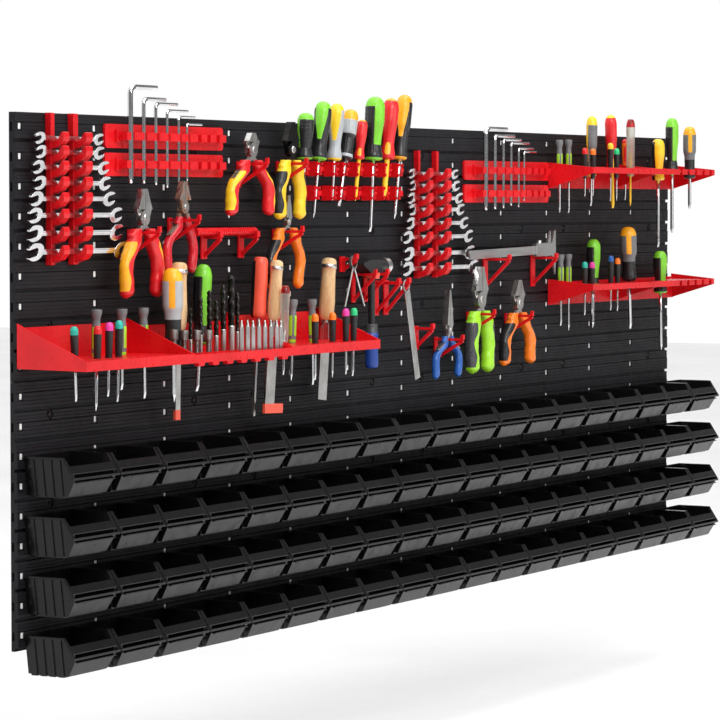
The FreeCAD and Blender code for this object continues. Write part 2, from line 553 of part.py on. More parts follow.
def plain_shelf(x0, x1, back_z, front_z, front_y, top, tools, fingers=0):
    body = fuse(shelf_frame(x0, x1, back_z, front_z, front_y, top))
    near = [t for t in tools if x0 - 30 < t.BoundBox.Center.x < x1 + 30]
    cuts = near + spare_holes(x0, x1, front_y, top, near)
    for i in range(fingers):
        x = x1 - 14 - i * 37.0
        cuts.append(box(x - 12, x, front_y - 1, front_y + 26, front_z[0] - 1, top + 4))
    return body.cut(Part.makeCompound(cuts))


def bit_shelf(x0, x1, back_z, front_z, front_y, deck):
    """The stepped middle section: a low deck with teeth under the front band."""
    shapes = shelf_frame(x0, x1, back_z, front_z, front_y, deck)
    count = 7
    pitch = (x1 - x0) / count
    for i in range(count):
        x = x0 + (i + 0.5) * pitch
        shapes.append(prism_y([(x - 10, front_z[0] + 0.5), (x - 7, front_z[0] - 5),
                               (x + 7, front_z[0] - 5), (x + 10, front_z[0] + 0.5)],
                              front_y, front_y + 8.0))
    shapes.append(box(x0, x1, -100.0, -97.0, deck - 2.0, deck + 9.0))
    body = fuse(shapes)
    cuts = []
    for x, y, r in [(x, DRILL_Y, r) for x, _, r in DRILLS]:
        cuts.append(Part.makeCylinder(r + 1.0, 6.0, V(x, y, deck)))
    return body.cut(Part.makeCompound(cuts))


def shelves():
    tools = clearances()
    left = LEFT
    third = PANEL_W / 2
    front_y, back_z, front_z = -133.0, (20.0, 85.0), (18.5, 33.0)
    bit_deck = 22.0
    save("tool_shelf_left", [plain_shelf(left, left + third - 0.4, back_z, front_z, front_y, 32.0, tools)])
    middle = bit_shelf(left + third, left + 2 * third - 0.4, (20.0, 78.0), (18.5, 31.0), front_y, bit_deck)
    near = [t for t in tools if left + third < t.BoundBox.Center.x < left + 2 * third]
    save("bit_shelf_middle", [middle.cut(Part.makeCompound(near))])
    save("tool_shelf_middle_right",
         [plain_shelf(left + 2 * third, left + 3 * third, back_z, front_z, front_y, 32.0, tools)])
    small_bits(bit_deck + 0.05)
    for name, base in (("upper", 207.0), ("lower", -14.5)):
        back_z, front_z, top = (base + 79.0, base + 128.0), (base + 107.5, base + 118.5), base + 117.5
        half = 290.0
        x0 = 591.0
        sections = [plain_shelf(x0, x0 + half - 0.4, back_z, front_z, -107.0, top, tools),
                    plain_shelf(x0 + half, x0 + 2 * half, back_z, front_z, -107.0, top, tools, 5)]
        save(f"tool_shelf_{name}_right", sections)


# --- pliers ---------------------------------------------------------------------------------------

# pivot, jaw length and half widths at the hub and at the tip, grip length and radius, how far the left
# and the right grip stand out at their top, bow and foot, and whether the left handle's half moves
PLIERS = {
    "vde_combination_pliers": (-858, 236, 44, 19, 6.0, 96, 12.5, (23, 41, 49), (22, 36, 39), True),
    "dipped_grip_pliers": (-745, 252, 40, 16, 5.0, 79, 8.5, (13, 40, 49), (12, 26, 26), False),
    "vde_diagonal_cutter": (-541, 343, 27, 19, 5.5, 80, 12.0, (24, 52, 66), (23, 48, 56), True),
    "linesman_pliers": (-417, 345, 45, 20, 6.5, 88, 12.5, (20, 33, 38), (19, 28, 28), True),
    "long_nose_pliers": (-430, 228, 43, 9, 2.4, 91, 10.5, (25, 46, 51), (24, 40, 37), True),
    "needle_nose_pliers": (134, 33, 71, 11, 2.4, 66, 8.0, (13, 42, 49), (13, 38, 40), True),
    "heavy_combination_pliers": (258, 83, 60, 25, 7.5, 104, 15.0, (23, 31, 30), (22, 31, 31), True),
    "diagonal_cutting_pliers": (412, 73, 43, 21, 6.0, 88, 13.0, (22, 46, 59), (22, 46, 55), True),
}
LAP_GAP = 0.15


def half_pliers(spec, jaw_way, front):
    """One half: its jaw on the jaw_way side, its handle on the other, lapped at the pivot."""
    px, pz, jaw_l, jaw_w, tip, grip_l, grip_r, left_out, right_out, _ = spec
    hub = jaw_w * 0.62
    y0, y1 = PLIERS_Y - PLIERS_T, PLIERS_Y + PLIERS_T
    lap = (y0, PLIERS_Y - LAP_GAP) if front else (PLIERS_Y + LAP_GAP, y1)
    w = jaw_way
    above = hub + 1.0
    waist = tip + (jaw_w - tip) * 0.6
    jaw = prism_y([(0.35 * w, above), (0.35 * w, jaw_l), (tip * w, jaw_l), (waist * w, jaw_l * 0.55),
                   (jaw_w * w, above + 1.0), (jaw_w * 0.9 * w, above)], y0, y1)
    neck = prism_y([(0.35 * w, above + 1), (jaw_w * 0.9 * w, above + 1), (hub * 0.9 * w, 0),
                    (hub * 0.5 * -w, -hub), (hub * 0.6 * -w, 0)], lap[0], lap[1])
    disc = Part.makeCylinder(hub, lap[1] - lap[0], V(0, lap[0], 0), V(0, 1, 0))
    top, bow, foot = left_out if w > 0 else right_out
    tang_w = grip_r * 0.42
    drop = -hub - 1.0
    join = prism_y([(hub * 0.55 * -w, drop + 2.0), (2.0 * -w, drop - 1.5), ((top - tang_w) * -w, drop - 12),
                    ((top + tang_w) * -w, drop - 12), (hub * 1.0 * -w, drop + 2.0)], lap[0], lap[1])
    tang = prism_y([((top - tang_w) * -w, drop - 11.9), ((bow - tang_w) * -w, drop - grip_l * 0.4),
                    ((bow + tang_w) * -w, drop - grip_l * 0.4), ((top + tang_w) * -w, drop - 11.9)],
                   y0 + 1.6, y1 - 1.6)
    steel = fuse([jaw, neck, disc, join, tang])
    steel = steel.cut(Part.makeCylinder(PIVOT_R + 0.06, 40, V(0, PLIERS_Y - 20, 0), V(0, 1, 0)))
    stations = ((0.0, top, 0.80), (0.08, top + 1, 1.0), (0.35, bow, 1.0), (0.72, (bow + foot) / 2 + 1, 1.0),
                (1.0, foot, 0.78))
    z_top = drop - 12.0
    sections = [(-w * x, PLIERS_Y, z_top - grip_l * f, grip_r * r) for f, x, r in stations]
    grip = ellipse_loft(sections[::-1], 0.78).cut(steel)
    for shape in (steel, grip):
        shape.translate(V(px, 0, pz))
    return steel, grip


def pliers():
    fixed_steel, fixed_grips, pivots = [], [], []
    for name, spec in PLIERS.items():
        way = 1 if spec[-1] else -1
        steel, grip = half_pliers(spec, way, True)
        save(f"{name}_moving_jaw", [steel])
        save(f"{name}_moving_grip", [grip])
        steel, grip = half_pliers(spec, -way, False)
        fixed_steel.append(steel)
        fixed_grips.append(grip)
        pin = Part.makeCylinder(PIVOT_R, 2 * PLIERS_T + 0.6, V(spec[0], PLIERS_Y - PLIERS_T - 0.3, spec[1]),
                                V(0, 1, 0))
        head = Part.makeCone(spec[3] * 0.30, spec[3] * 0.24, 1.4,
                             V(spec[0], PLIERS_Y - PLIERS_T - 0.3, spec[1]), V(0, -1, 0))
        pivots.append(fuse([pin, head]))
    save("pliers_fixed_halves", fixed_steel)
    save("pliers_fixed_grips", fixed_grips)
    save("pliers_pivots", pivots)


# --- hooks, caliper, hammer and the rest ------------------------------------------------------------

# wall hooks: place, top of the arm, depth of the tip, height of the wall plate
HOOKS = [(spec[0], spec[1] - spec[3] * 0.62 - 8.0, 66.0, 40.0) for spec in PLIERS.values()]
CALIPER_HOOKS = ((326, 62, 56), (522, 62, 56))
BAR_HOOKS = ((-647, 44, 36), (-535, 44, 36))
BAR = (-704, -524, 213.5, 6.5)
PAIR_HOOKS = ((-88, 123, 58, 58), (-52, 123, 58, 58))
HAMMER_HOOKS = ((-167, 139.4, 56, 50), (-125, 139.4, 56, 50))
SMALL_HOOKS = ((-205, 166, 40, 24), (58, 40, 46, 40))


def hook(x, z, depth, height, width=9.0):
    """A triangular wall hook: plate, level arm with an upturned tip, and a brace below."""
    plate = box(x - width * 0.9, x + width * 0.9, FACE - 3.2, FACE, z - height, z + 2.0)
    arm = box(x - width / 2, x + width / 2, -depth, FACE - 2.0, z - 4.5, z)
    tip = prism_x([(-depth, z - 4.0), (-depth - 4.0, z - 2.0), (-depth - 4.0, z + 7.0),
                   (-depth + 0.5, z + 7.0), (-depth + 2.0, z - 1.0)], x - width / 2, x + width / 2)
    brace = prism_x([(FACE - 2.0, z - height + 1.0), (FACE - 2.0, z - height + 7.5),
                     (-depth + 3.0, z - 4.0), (-depth - 3.0, z - 4.0), (-depth - 2.0, z - 7.5)],
                    x - width * 0.3, x + width * 0.3)
    return fuse([plate, arm, tip, brace])


def hooks():
    hung = [hook(x, z, depth, height, 6.0) for x, z, depth, height in HOOKS]
    beam_low = CALIPER_Z - 8.6
    for x, depth, height in CALIPER_HOOKS:
        lift = (x - 396) * math.tan(math.radians(CALIPER_TILT))
        under = 4.6 if x > 480 else 0.4
        hung.append(hook(x, beam_low + lift - under, depth, height))
    for x, depth, height in BAR_HOOKS:
        hung.append(hook(x, BAR[2] - BAR[3] - 0.3, depth, height))
    for x, z, depth, height in PAIR_HOOKS + SMALL_HOOKS:
        hung.append(hook(x, z, depth, height))
    for x, z, depth, height in HAMMER_HOOKS:
        hung.append(hook(x, z, depth, height, 6.0))
    save("tool_hooks", hung)


def ribbed_bar():
    """A ribbed rod that lies along its two brackets."""
    x0, x1, z, r = BAR
    core = rod(V(x0, -34.0, z), V(x1, -34.0, z), r - 0.8)
    rings = []
    step = 6.0
    for i in range(int((x1 - x0) / step)):
        x = x0 + i * step
        rings.append(Part.makeCylinder(r, step * 0.55, V(x, -34.0, z), V(1, 0, 0)))
    save("ribbed_bar", [core.fuse(rings).removeSplitter()])


def caliper():
    """A vernier caliper laid on two hooks: a beam with fixed jaws, and a slider round the beam."""
    y0, y1 = CALIPER_Y - 1.8, CALIPER_Y + 1.8
    beam = [box(220, 573, y0, y1, CALIPER_Z - 8.0, CALIPER_Z + 8.0)]
    beam.append(prism_y([(573, CALIPER_Z + 8), (556, CALIPER_Z + 8), (568, CALIPER_Z + 34),
                         (573, CALIPER_Z + 36)], y0, y1))
    beam.append(prism_y([(573, CALIPER_Z - 8), (573, CALIPER_Z - 26), (569, CALIPER_Z - 48),
                         (558, CALIPER_Z - 8)], y0, y1))
    beam = fuse(beam)
    gap = 0.35
    sleeve = box(486, 552, y0 - 3.0, y1 + 3.0, CALIPER_Z - 12.0, CALIPER_Z + 12.5)
    upper = prism_y([(552, CALIPER_Z + 12), (538, CALIPER_Z + 12), (548, CALIPER_Z + 32),
                     (552, CALIPER_Z + 35)], y0, y1)
    knob = Part.makeCylinder(4.5, 6.0, V(505, CALIPER_Y, CALIPER_Z + 12.0))
    tunnel = box(400, 700, y0 - gap, y1 + gap, CALIPER_Z - 8.0 - gap, CALIPER_Z + 8.0 + gap)
    slider = fuse([sleeve, upper, knob]).cut(tunnel)
    for shape in (beam, slider):
        shape.rotate(V(396, CALIPER_Y, CALIPER_Z), V(0, 1, 0), -CALIPER_TILT)
    save("caliper_beam", [beam])
    save("caliper_slider", [slider])


HAMMER_X, HAMMER_Y = -146.0, -38.0


def hammer():
    """A hammer that hangs by its head: steel head, red collar, tube shaft and moulded grip."""
    x, y = HAMMER_X, HAMMER_Y
    head = [box(x - 22, x + 20, y - 11, y + 11, 140, 162),
            Part.makeCylinder(11.0, 22, V(x + 18, y, 151), V(1, 0, 0)),
            Part.makeCone(12.5, 14.0, 10, V(x + 40, y, 151), V(1, 0, 0)),
            prism_y([(x - 20, 140), (x - 20, 162), (x - 46, 158), (x - 46, 153)], y - 11, y + 11)]
    save("hammer_head", [fuse(head)])
    save("hammer_collar", [turned([(0, 13.0), (9, 14.5), (10, 14.5)], V(x, y, 129.8), V(x, y, 139.8))])
    save("hammer_shaft", [turned([(0, 9.0), (76, 9.5)], V(x, y, 53.6), V(x, y, 129.6))])
    grip = [(0, 15.0), (4, 17.5), (40, 16.0), (62, 17.0), (63, 16.0), (76, 14.0)]
    save("hammer_grip", [turned(grip, V(x, y, -22.6), V(x, y, 53.4))])


def hanging_file_and_dividers():
    """A flat file and a pair of dividers, each hung by an eye round its hook's arm."""
    hub = V(-52.0, -53.0, 115.6)
    eye = Part.makeCylinder(11.5, 2.4, hub, V(0, -1, 0))
    eye = eye.cut(Part.makeCylinder(9.0, 9.0, hub.add(V(0, 2, 0)), V(0, -1, 0)))
    blade = box(-9.0, 9.0, -2.4, 0.0, -167.0, -10.0)
    blade.rotate(V(0, 0, 0), V(0, 1, 0), -14.0)
    blade.translate(hub)
    save("hanging_file", [fuse([eye, blade.cut(Part.makeCylinder(9.0, 20, hub.add(V(0, 9, 0)), V(0, -1, 0)))])])
    hub = V(-205.0, -33.0, 158.6)
    ring = Part.makeCylinder(11.5, 5.0, hub, V(0, -1, 0))
    ring = ring.cut(Part.makeCylinder(9.0, 9.0, hub.add(V(0, 2, 0)), V(0, -1, 0)))
    legs = [ring]
    for dx, y in ((-26.0, -33.4), (34.0, -37.6)):
        legs.append(rod(V(hub.x + dx * 0.09, -35.5, 148.3), V(hub.x + dx, y, 84.0), 1.8))
    save("dividers", [fuse(legs)])


if __name__ == "__main__":
    os.makedirs("parts", exist_ok=True)
    panels()
    wall_screws()
    bins()
    wrench_racks()
    hex_keys()
    screwdrivers()
    bladed_tools()
    shelves()
    pliers()
    hooks()
    ribbed_bar()
    caliper()
    hammer()
    hanging_file_and_dividers()
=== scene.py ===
import json
import math

import bmesh
import bpy
import numpy as np
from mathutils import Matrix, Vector


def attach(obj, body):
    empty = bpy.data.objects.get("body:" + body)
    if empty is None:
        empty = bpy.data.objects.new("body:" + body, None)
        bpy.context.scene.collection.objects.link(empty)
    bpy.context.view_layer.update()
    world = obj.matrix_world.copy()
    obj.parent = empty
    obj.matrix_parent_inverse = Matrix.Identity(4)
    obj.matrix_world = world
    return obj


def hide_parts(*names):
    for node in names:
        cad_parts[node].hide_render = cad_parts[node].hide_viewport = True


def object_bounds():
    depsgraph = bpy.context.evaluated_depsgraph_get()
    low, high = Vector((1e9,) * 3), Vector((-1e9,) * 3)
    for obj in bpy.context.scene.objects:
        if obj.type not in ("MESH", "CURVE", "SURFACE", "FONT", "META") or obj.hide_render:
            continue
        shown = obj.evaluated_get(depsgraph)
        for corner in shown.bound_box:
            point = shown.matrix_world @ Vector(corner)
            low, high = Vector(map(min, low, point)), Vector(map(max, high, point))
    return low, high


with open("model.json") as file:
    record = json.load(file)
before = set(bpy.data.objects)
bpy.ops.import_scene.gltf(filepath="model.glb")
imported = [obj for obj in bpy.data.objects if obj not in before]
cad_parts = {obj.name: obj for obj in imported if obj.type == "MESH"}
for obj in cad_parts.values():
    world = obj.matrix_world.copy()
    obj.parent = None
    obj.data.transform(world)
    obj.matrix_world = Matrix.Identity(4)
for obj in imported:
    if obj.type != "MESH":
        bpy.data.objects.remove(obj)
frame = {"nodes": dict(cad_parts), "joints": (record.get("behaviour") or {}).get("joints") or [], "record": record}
cad_low, cad_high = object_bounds()
NODES = frame["nodes"]
BODY_OF = {n: b for b, ns in frame["record"]["behaviour"]["bodies"].items() for n in ns}
PIVOTS = {j["name"][:-6]: Vector(j["pos_m"]) for j in frame["joints"] if j["type"] == "hinge"}
MM = 0.001

# --- colours, linear ------------------------------------------------------------------------------
COLOURS = {
    "black": (0.012, 0.012, 0.013), "charcoal": (0.05, 0.05, 0.055), "grey": (0.16, 0.165, 0.17),
    "pale": (0.42, 0.44, 0.45), "silver": (0.62, 0.62, 0.62), "white": (0.8, 0.8, 0.78),
    "green": (0.20, 0.62, 0.03), "lime": (0.36, 0.75, 0.03), "mint": (0.02, 0.55, 0.20),
    "teal": (0.02, 0.42, 0.33), "blue": (0.02, 0.11, 0.42), "navy": (0.01, 0.05, 0.28),
    "yellow": (0.95, 0.60, 0.02), "amber": (0.95, 0.42, 0.01), "orange": (0.92, 0.20, 0.012),
    "red": (0.72, 0.012, 0.016), "crimson": (0.55, 0.01, 0.02), "magenta": (0.80, 0.05, 0.38),
    "coral": (0.85, 0.10, 0.05), "clear": (0.75, 0.78, 0.70),
}


# --- materials ------------------------------------------------------------------------------------

class Nodes:
    """A small wrapper for one material's node tree."""

    def __init__(self, name):
        self.material = bpy.data.materials.new(name)
        self.material.use_nodes = True
        self.tree = self.material.node_tree
        self.shader = self.tree.nodes["Principled BSDF"]
        self.coords = self.add("ShaderNodeTexCoord").outputs["Object"]

    def add(self, kind, **inputs):
        node = self.tree.nodes.new(kind)
        for key, value in inputs.items():
            node.inputs[key.replace("_", " ")].default_value = value
        return node

    def link(self, out, into):
        self.tree.links.new(out, into)

    def noise(self, scale, detail=3.0, stretch=None):
        """Noise in object space; stretch scales the axes, so a small number draws it out."""
        node = self.add("ShaderNodeTexNoise", Scale=scale, Detail=detail)
        if stretch:
            mapping = self.add("ShaderNodeMapping")
            mapping.inputs["Scale"].default_value = stretch
            self.link(self.coords, mapping.inputs["Vector"])
            self.link(mapping.outputs["Vector"], node.inputs["Vector"])
        else:
            self.link(self.coords, node.inputs["Vector"])
        return node.outputs["Fac"]

    def ramp(self, value, low, high, start=0.3, end=0.7):
        """Maps a value between two numbers or two colours."""
        node = self.add("ShaderNodeValToRGB")
        ends = node.color_ramp.elements
        for element, place, tone in ((ends[0], start, low), (ends[1], end, high)):
            element.position = place
            element.color = (*tone, 1.0) if isinstance(tone, tuple) else (tone, tone, tone, 1.0)
        self.link(value, node.inputs["Fac"])
        return node.outputs["Color"]

    def mix(self, factor, a, b):
        node = self.add("ShaderNodeMix")
        node.data_type = "RGBA"
        self.link(factor, node.inputs["Factor"])
        for value, socket in ((a, node.inputs[6]), (b, node.inputs[7])):
            if isinstance(value, tuple):
                socket.default_value = (*value, 1.0)
            else:
                self.link(value, socket)
        return node.outputs[2]

    def bump(self, height, strength, distance):
        node = self.add("ShaderNodeBump", Strength=strength, Distance=distance)
        self.link(height, node.inputs["Height"])
        self.link(node.outputs["Normal"], self.shader.inputs["Normal"])

    def rough(self, value, low, high):
        self.link(self.ramp(value, low, high), self.shader.inputs["Roughness"])

    def colour(self, out):
        self.link(out, self.shader.inputs["Base Color"])

    def set(self, **values):
        for key, value in values.items():
            self.shader.inputs[key.replace("_", " ")].default_value = value
        return self.material


def shade(tone, factor):
    return tuple(min(1.0, c * factor) for c in tone)


def mask(m, attribute):
    """1 where a mesh attribute is above zero, with a hair-thin soft edge."""
    node = m.add("ShaderNodeAttribute")
    node.attribute_name = attribute
    return m.ramp(node.outputs["Fac"], 0.0, 1.0, 0.49, 0.51)


plastics = {}


def plastic(base, second=None, third=None, gloss=0.34):
    """Moulded plastic in up to three colours; the mesh's tint attributes place the second and third."""
    key = "_".join(str(k) for k in ("plastic", base, second, third) if k)
    if key in plastics:
        return plastics[key]
    m = Nodes(key)
    cloud = m.noise(38.0)
    grain = m.noise(2600.0, 2.0)

    def tone(name):
        return m.ramp(cloud, shade(COLOURS[name], 0.86), shade(COLOURS[name], 1.06))

    colour = tone(base)
    if second:
        colour = m.mix(mask(m, "tint_b"), colour, tone(second))
    if third:
        colour = m.mix(mask(m, "tint_c"), colour, tone(third))
    m.colour(colour)
    m.rough(m.noise(210.0), gloss - 0.08, gloss + 0.10)
    m.bump(grain, 0.22, 0.0002)
    clear = 0.85 if base == "clear" else 0.0
    plastics[key] = m.set(IOR=1.48, Coat_Weight=0.12, Coat_Roughness=0.2, Transmission_Weight=clear)
    return plastics[key]


def panel_plastic():
    """Matt black panel plastic with a fine spark-eroded grain and faint rubbed patches."""
    m = Nodes("panel_plastic")
    m.colour(m.ramp(m.noise(7.0, 5.0), (0.0060, 0.0058, 0.0072), (0.0110, 0.0104, 0.0130)))
    m.rough(m.noise(60.0, 4.0), 0.46, 0.62)
    m.bump(m.noise(1800.0, 2.0), 0.45, 0.0002)
    return m.set(IOR=1.5, Specular_IOR_Level=0.2)


def bin_plastic():
    """Glossy black polypropylene with slow moulding waves."""
    m = Nodes("bin_plastic")
    m.colour(m.ramp(m.noise(9.0), (0.0028, 0.0028, 0.0031), (0.0060, 0.0060, 0.0064)))
    m.rough(m.noise(45.0, 4.0), 0.15, 0.30)
    m.bump(m.noise(55.0, 2.0), 0.16, 0.0012)
    return m.set(IOR=1.5, Specular_IOR_Level=0.26)


def red_plastic():
    """Bright red rack plastic, satin, a little deeper where the moulding is thick."""
    m = Nodes("red_plastic")
    m.colour(m.ramp(m.noise(14.0, 4.0), (0.56, 0.004, 0.008), (0.74, 0.008, 0.013)))
    m.rough(m.noise(120.0), 0.24, 0.40)
    m.bump(m.noise(1500.0, 2.0), 0.25, 0.0002)
    return m.set(IOR=1.48, Subsurface_Weight=0.04, Subsurface_Scale=0.004, Specular_IOR_Level=0.4)


def metal(name, low, high, rough, streak=None, grain=0.12):
    """Metal with cloudy tone, drawn-out grinding streaks and fine scratches."""
    m = Nodes(name)
    m.colour(m.ramp(m.noise(30.0, 5.0), low, high))
    lines = m.noise(300.0, 4.0, streak or (1.0, 1.0, 0.04))
    m.rough(lines, rough[0], rough[1])
    m.bump(lines, grain, 0.00015)
    return m.set(Metallic=1.0)


def rusty_steel():
    """Old tool steel with brown patches."""
    m = Nodes("rusty_steel")
    spots = m.ramp(m.noise(120.0, 6.0), 0.0, 1.0, 0.44, 0.60)
    m.colour(m.mix(spots, (0.42, 0.38, 0.34), (0.20, 0.075, 0.03)))
    m.link(m.ramp(spots, 1.0, 0.25, 0.0, 1.0), m.shader.inputs["Metallic"])
    m.rough(spots, 0.32, 0.75)
    m.bump(m.noise(700.0, 5.0), 0.4, 0.0003)
    return m.material


def varnished_wood():
    """Turned beech: growth lines along the handle under a thin varnish."""
    m = Nodes("varnished_wood")
    lines = m.noise(85.0, 6.0, (1.0, 1.0, 0.06))
    fleck = m.noise(900.0, 2.0, (1.0, 1.0, 0.12))
    base = m.ramp(lines, (0.56, 0.31, 0.12), (0.88, 0.62, 0.34))
    m.colour(m.mix(m.ramp(fleck, 0.0, 0.5, 0.55, 0.72), base, (0.30, 0.13, 0.04)))
    m.rough(fleck, 0.30, 0.45)
    m.bump(lines, 0.10, 0.0004)
    return m.set(Coat_Weight=0.35, Coat_Roughness=0.22)


def knurled_steel():
    """Steel with a crossed knurl."""
    m = Nodes("knurled_steel")
    m.colour(m.ramp(m.noise(60.0), (0.14, 0.14, 0.135), (0.30, 0.295, 0.28)))
    wave = m.add("ShaderNodeTexWave", Scale=420.0, Distortion=0.4)
    wave.wave_type = "BANDS"
    wave.bands_direction = "Z"
    m.link(m.coords, wave.inputs["Vector"])
    m.rough(m.noise(260.0), 0.28, 0.5)
    m.bump(wave.outputs["Fac"], 0.5, 0.0004)
    return m.set(Metallic=1.0)


def etched_steel():
    """Satin stainless with the etched ticks of a scale along its length."""
    m = Nodes("etched_steel")
    wave = m.add("ShaderNodeTexWave", Scale=157.0)
    wave.bands_direction = "X"
    m.link(m.coords, wave.inputs["Vector"])
    ticks = m.ramp(wave.outputs["Fac"], 0.0, 1.0, 0.80, 0.90)
    m.colour(m.mix(ticks, (0.66, 0.66, 0.65), (0.36, 0.36, 0.36)))
    m.rough(m.noise(240.0, 3.0, (0.05, 1.0, 1.0)), 0.28, 0.44)
    return m.set(Metallic=1.0)


CHROME = metal("chrome", (0.60, 0.60, 0.61), (0.82, 0.82, 0.83), (0.07, 0.18), (0.05, 1.0, 1.0), 0.03)
STEEL = metal("tool_steel", (0.48, 0.47, 0.45), (0.72, 0.71, 0.69), (0.22, 0.40))
DARK_STEEL = metal("dark_steel", (0.016, 0.015, 0.015), (0.050, 0.046, 0.044), (0.22, 0.38))
WOOD = varnished_wood()
RUSTY = rusty_steel()
KNURLED = knurled_steel()
ETCHED = etched_steel()
PANEL = panel_plastic()
PALE = plastic("white")
BIN = bin_plastic()
RED = red_plastic()


CORNERS = ((-1, -1), (1, -1), (1, 1), (-1, 1))


# --- mesh building --------------------------------------------------------------------------------

class Mesh:
    """Collects rings of points into one object with several materials and two tint attributes."""

    def __init__(self):
        self.points, self.faces, self.slots, self.tints = [], [], [], []
        self.materials = []

    def slot(self, material):
        if material not in self.materials:
            self.materials.append(material)
        return self.materials.index(material)

    def add(self, points, faces, material, tints=None):
        first = len(self.points)
        index = self.slot(material)
        self.points += [tuple(p) for p in points]
        self.faces += [tuple(first + i for i in face) for face in faces]
        self.slots += [index] * len(faces)
        self.tints += tints or [(-1.0, -1.0)] * len(points)

    def tube(self, rings, material, tints=None):
        """Skins a list of rings with equal point counts and closes both ends."""
        count = len(rings[0])
        points = [p for ring in rings for p in ring]
        faces = []
        for i in range(len(rings) - 1):
            for k in range(count):
                n = (k + 1) % count
                faces.append((i * count + k, i * count + n, (i + 1) * count + n, (i + 1) * count + k))
        last = (len(rings) - 1) * count
        faces.append(tuple(reversed(range(count))))
        faces.append(tuple(range(last, last + count)))
        self.add(points, faces, material, tints)

    def build(self, name, node, smooth=True, stands_for=True):
        """Makes the object, rides it on the node's body and may let it stand for the node."""
        mesh = bpy.data.meshes.new(name)
        mesh.from_pydata(self.points, [], self.faces)
        for material in self.materials:
            mesh.materials.append(material)
        mesh.polygons.foreach_set("material_index", self.slots)
        mesh.polygons.foreach_set("use_smooth", [smooth] * len(self.faces))
        for k, attribute in enumerate(("tint_b", "tint_c")):
            layer = mesh.attributes.new(attribute, "FLOAT", "POINT")
            layer.data.foreach_set("value", [0.5 + 0.5 * max(-1.0, min(1.0, t[k])) for t in self.tints])
        mesh.update()
        fix = bmesh.new()
        fix.from_mesh(mesh)
        bmesh.ops.recalc_face_normals(fix, faces=fix.faces)
        fix.to_mesh(mesh)
        fix.free()
        piece = bpy.data.objects.new(name, mesh)
        bpy.context.scene.collection.objects.link(piece)
        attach(piece, BODY_OF[node])
        if stands_for:
            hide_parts(node)
        return piece


def islands(node):
    """Each separate solid of a CAD node as (points, faces), welded."""
    work = bmesh.new()
    work.from_mesh(NODES[node].data)
    bmesh.ops.remove_doubles(work, verts=work.verts, dist=1e-6)
    work.verts.ensure_lookup_table()
    seen = set()
    found = []
    for seed in work.verts:
        if seed.index in seen:
            continue
        group, stack = [], [seed]
        seen.add(seed.index)
        while stack:
            vert = stack.pop()
            group.append(vert)
            for edge in vert.link_edges:
                other = edge.other_vert(vert)
                if other.index not in seen:
                    seen.add(other.index)
                    stack.append(other)
        place = {v.index: i for i, v in enumerate(group)}
        faces = {f for v in group for f in v.link_faces}
        faces = sorted(tuple(place[v.index] for v in f.verts) for f in faces)
        found.append((np.array([v.co[:] for v in group]), faces))
    work.free()
    return sorted(found, key=lambda part: part[0][:, 0].mean())


def axis_of(points):
    """(foot, direction, length, radius) of a turned or long shape, with the direction upwards."""
    centre = points.mean(axis=0)
    _, _, rows = np.linalg.svd(points - centre, full_matrices=False)
    way = rows[0] if rows[0][2] > 0 else -rows[0]
    along = (points - centre) @ way
    out = np.linalg.norm(points - centre - np.outer(along, way), axis=1)
    return centre + way * along.min(), way, float(along.max() - along.min()), float(out.max())


def cross_axes(way):
    """Two directions square to way: sideways along the wall, and out from the wall."""
    side = np.cross(way, (0.0, -1.0, 0.0))
    side /= np.linalg.norm(side)
    return side, np.cross(way, side)


def profile_of(points, foot, way, length, radius):
    """The turned outline of a CAD handle as arrays of place along it and radius."""
    along = (points - foot) @ way
    out = np.linalg.norm(points - foot - np.outer(along, way), axis=1)
    rows = {}
    for a, r in zip(along, out):
        if r > 0.37 * radius:
            key = round(a / length * 200)
            rows[key] = max(rows.get(key, 0.0), r)
    keys = sorted(rows)
    return np.array(keys) / 200.0, np.array([rows[k] for k in keys])


def smooth_radii(places, radii, count):
    """The outline at count even places, rounded off where the CAD has corners."""
    t = np.linspace(0.0, 1.0, count)
    r = np.interp(t, places, radii)
    for _ in range(3):
        r[1:-1] = 0.25 * r[:-2] + 0.5 * r[1:-1] + 0.25 * r[2:]
    return t, r


# --- turned handles -------------------------------------------------------------------------------

SIDES = 32
RINGS = 54
FRONT_LEFT, FRONT_RIGHT, LEFT_EDGE = 2.63, 1.06, 4.2     # turns about a handle, from +X by way of the front
RIBBED = ("edge", "half")


def oval(t, turn, low, high, wide, copies=3):
    """Positive inside the rounded inlays spread round a handle, one of them facing front left."""
    step = 2 * math.pi / copies
    off = (turn - FRONT_LEFT + step / 2) % step - step / 2
    middle, half = (low + high) / 2, (high - low) / 2
    return 1.0 - ((t - middle) / half) ** 4 - (off / wide) ** 2


def look_oval(t, turn):
    """Coloured dome and three inlaid ovals; a thin ring at the foot."""
    return max(oval(t, turn, 0.30, 0.80, 0.55), (t - 0.88) * 20, (0.03 - t) * 20), -1.0


def look_band(t, turn):
    """Dome, a light ribbed band and a dark lower half with a ring."""
    band = min(t - 0.50, 0.78 - t) * 20
    foot = min(t - 0.04, 0.10 - t) * 40
    return (t - 0.78) * 20, max(band, foot)


def look_half(t, turn):
    """Coloured dome and front right half, dark ribs on the rest and a ring at the foot."""
    half = min(math.cos(turn - FRONT_RIGHT) * 4, (t - 0.24) * 20)
    return max(half, (t - 0.84) * 20, (0.035 - t) * 20), -1.0


def look_edge(t, turn):
    """Coloured dome that runs down the left edge, ribs on the rest and a ring at the foot."""
    edge = min((math.cos(turn - LEFT_EDGE) - 0.72) * 8, (t - 0.24) * 20)
    return max(edge, (t - 0.85) * 20, (0.03 - t) * 20), -1.0


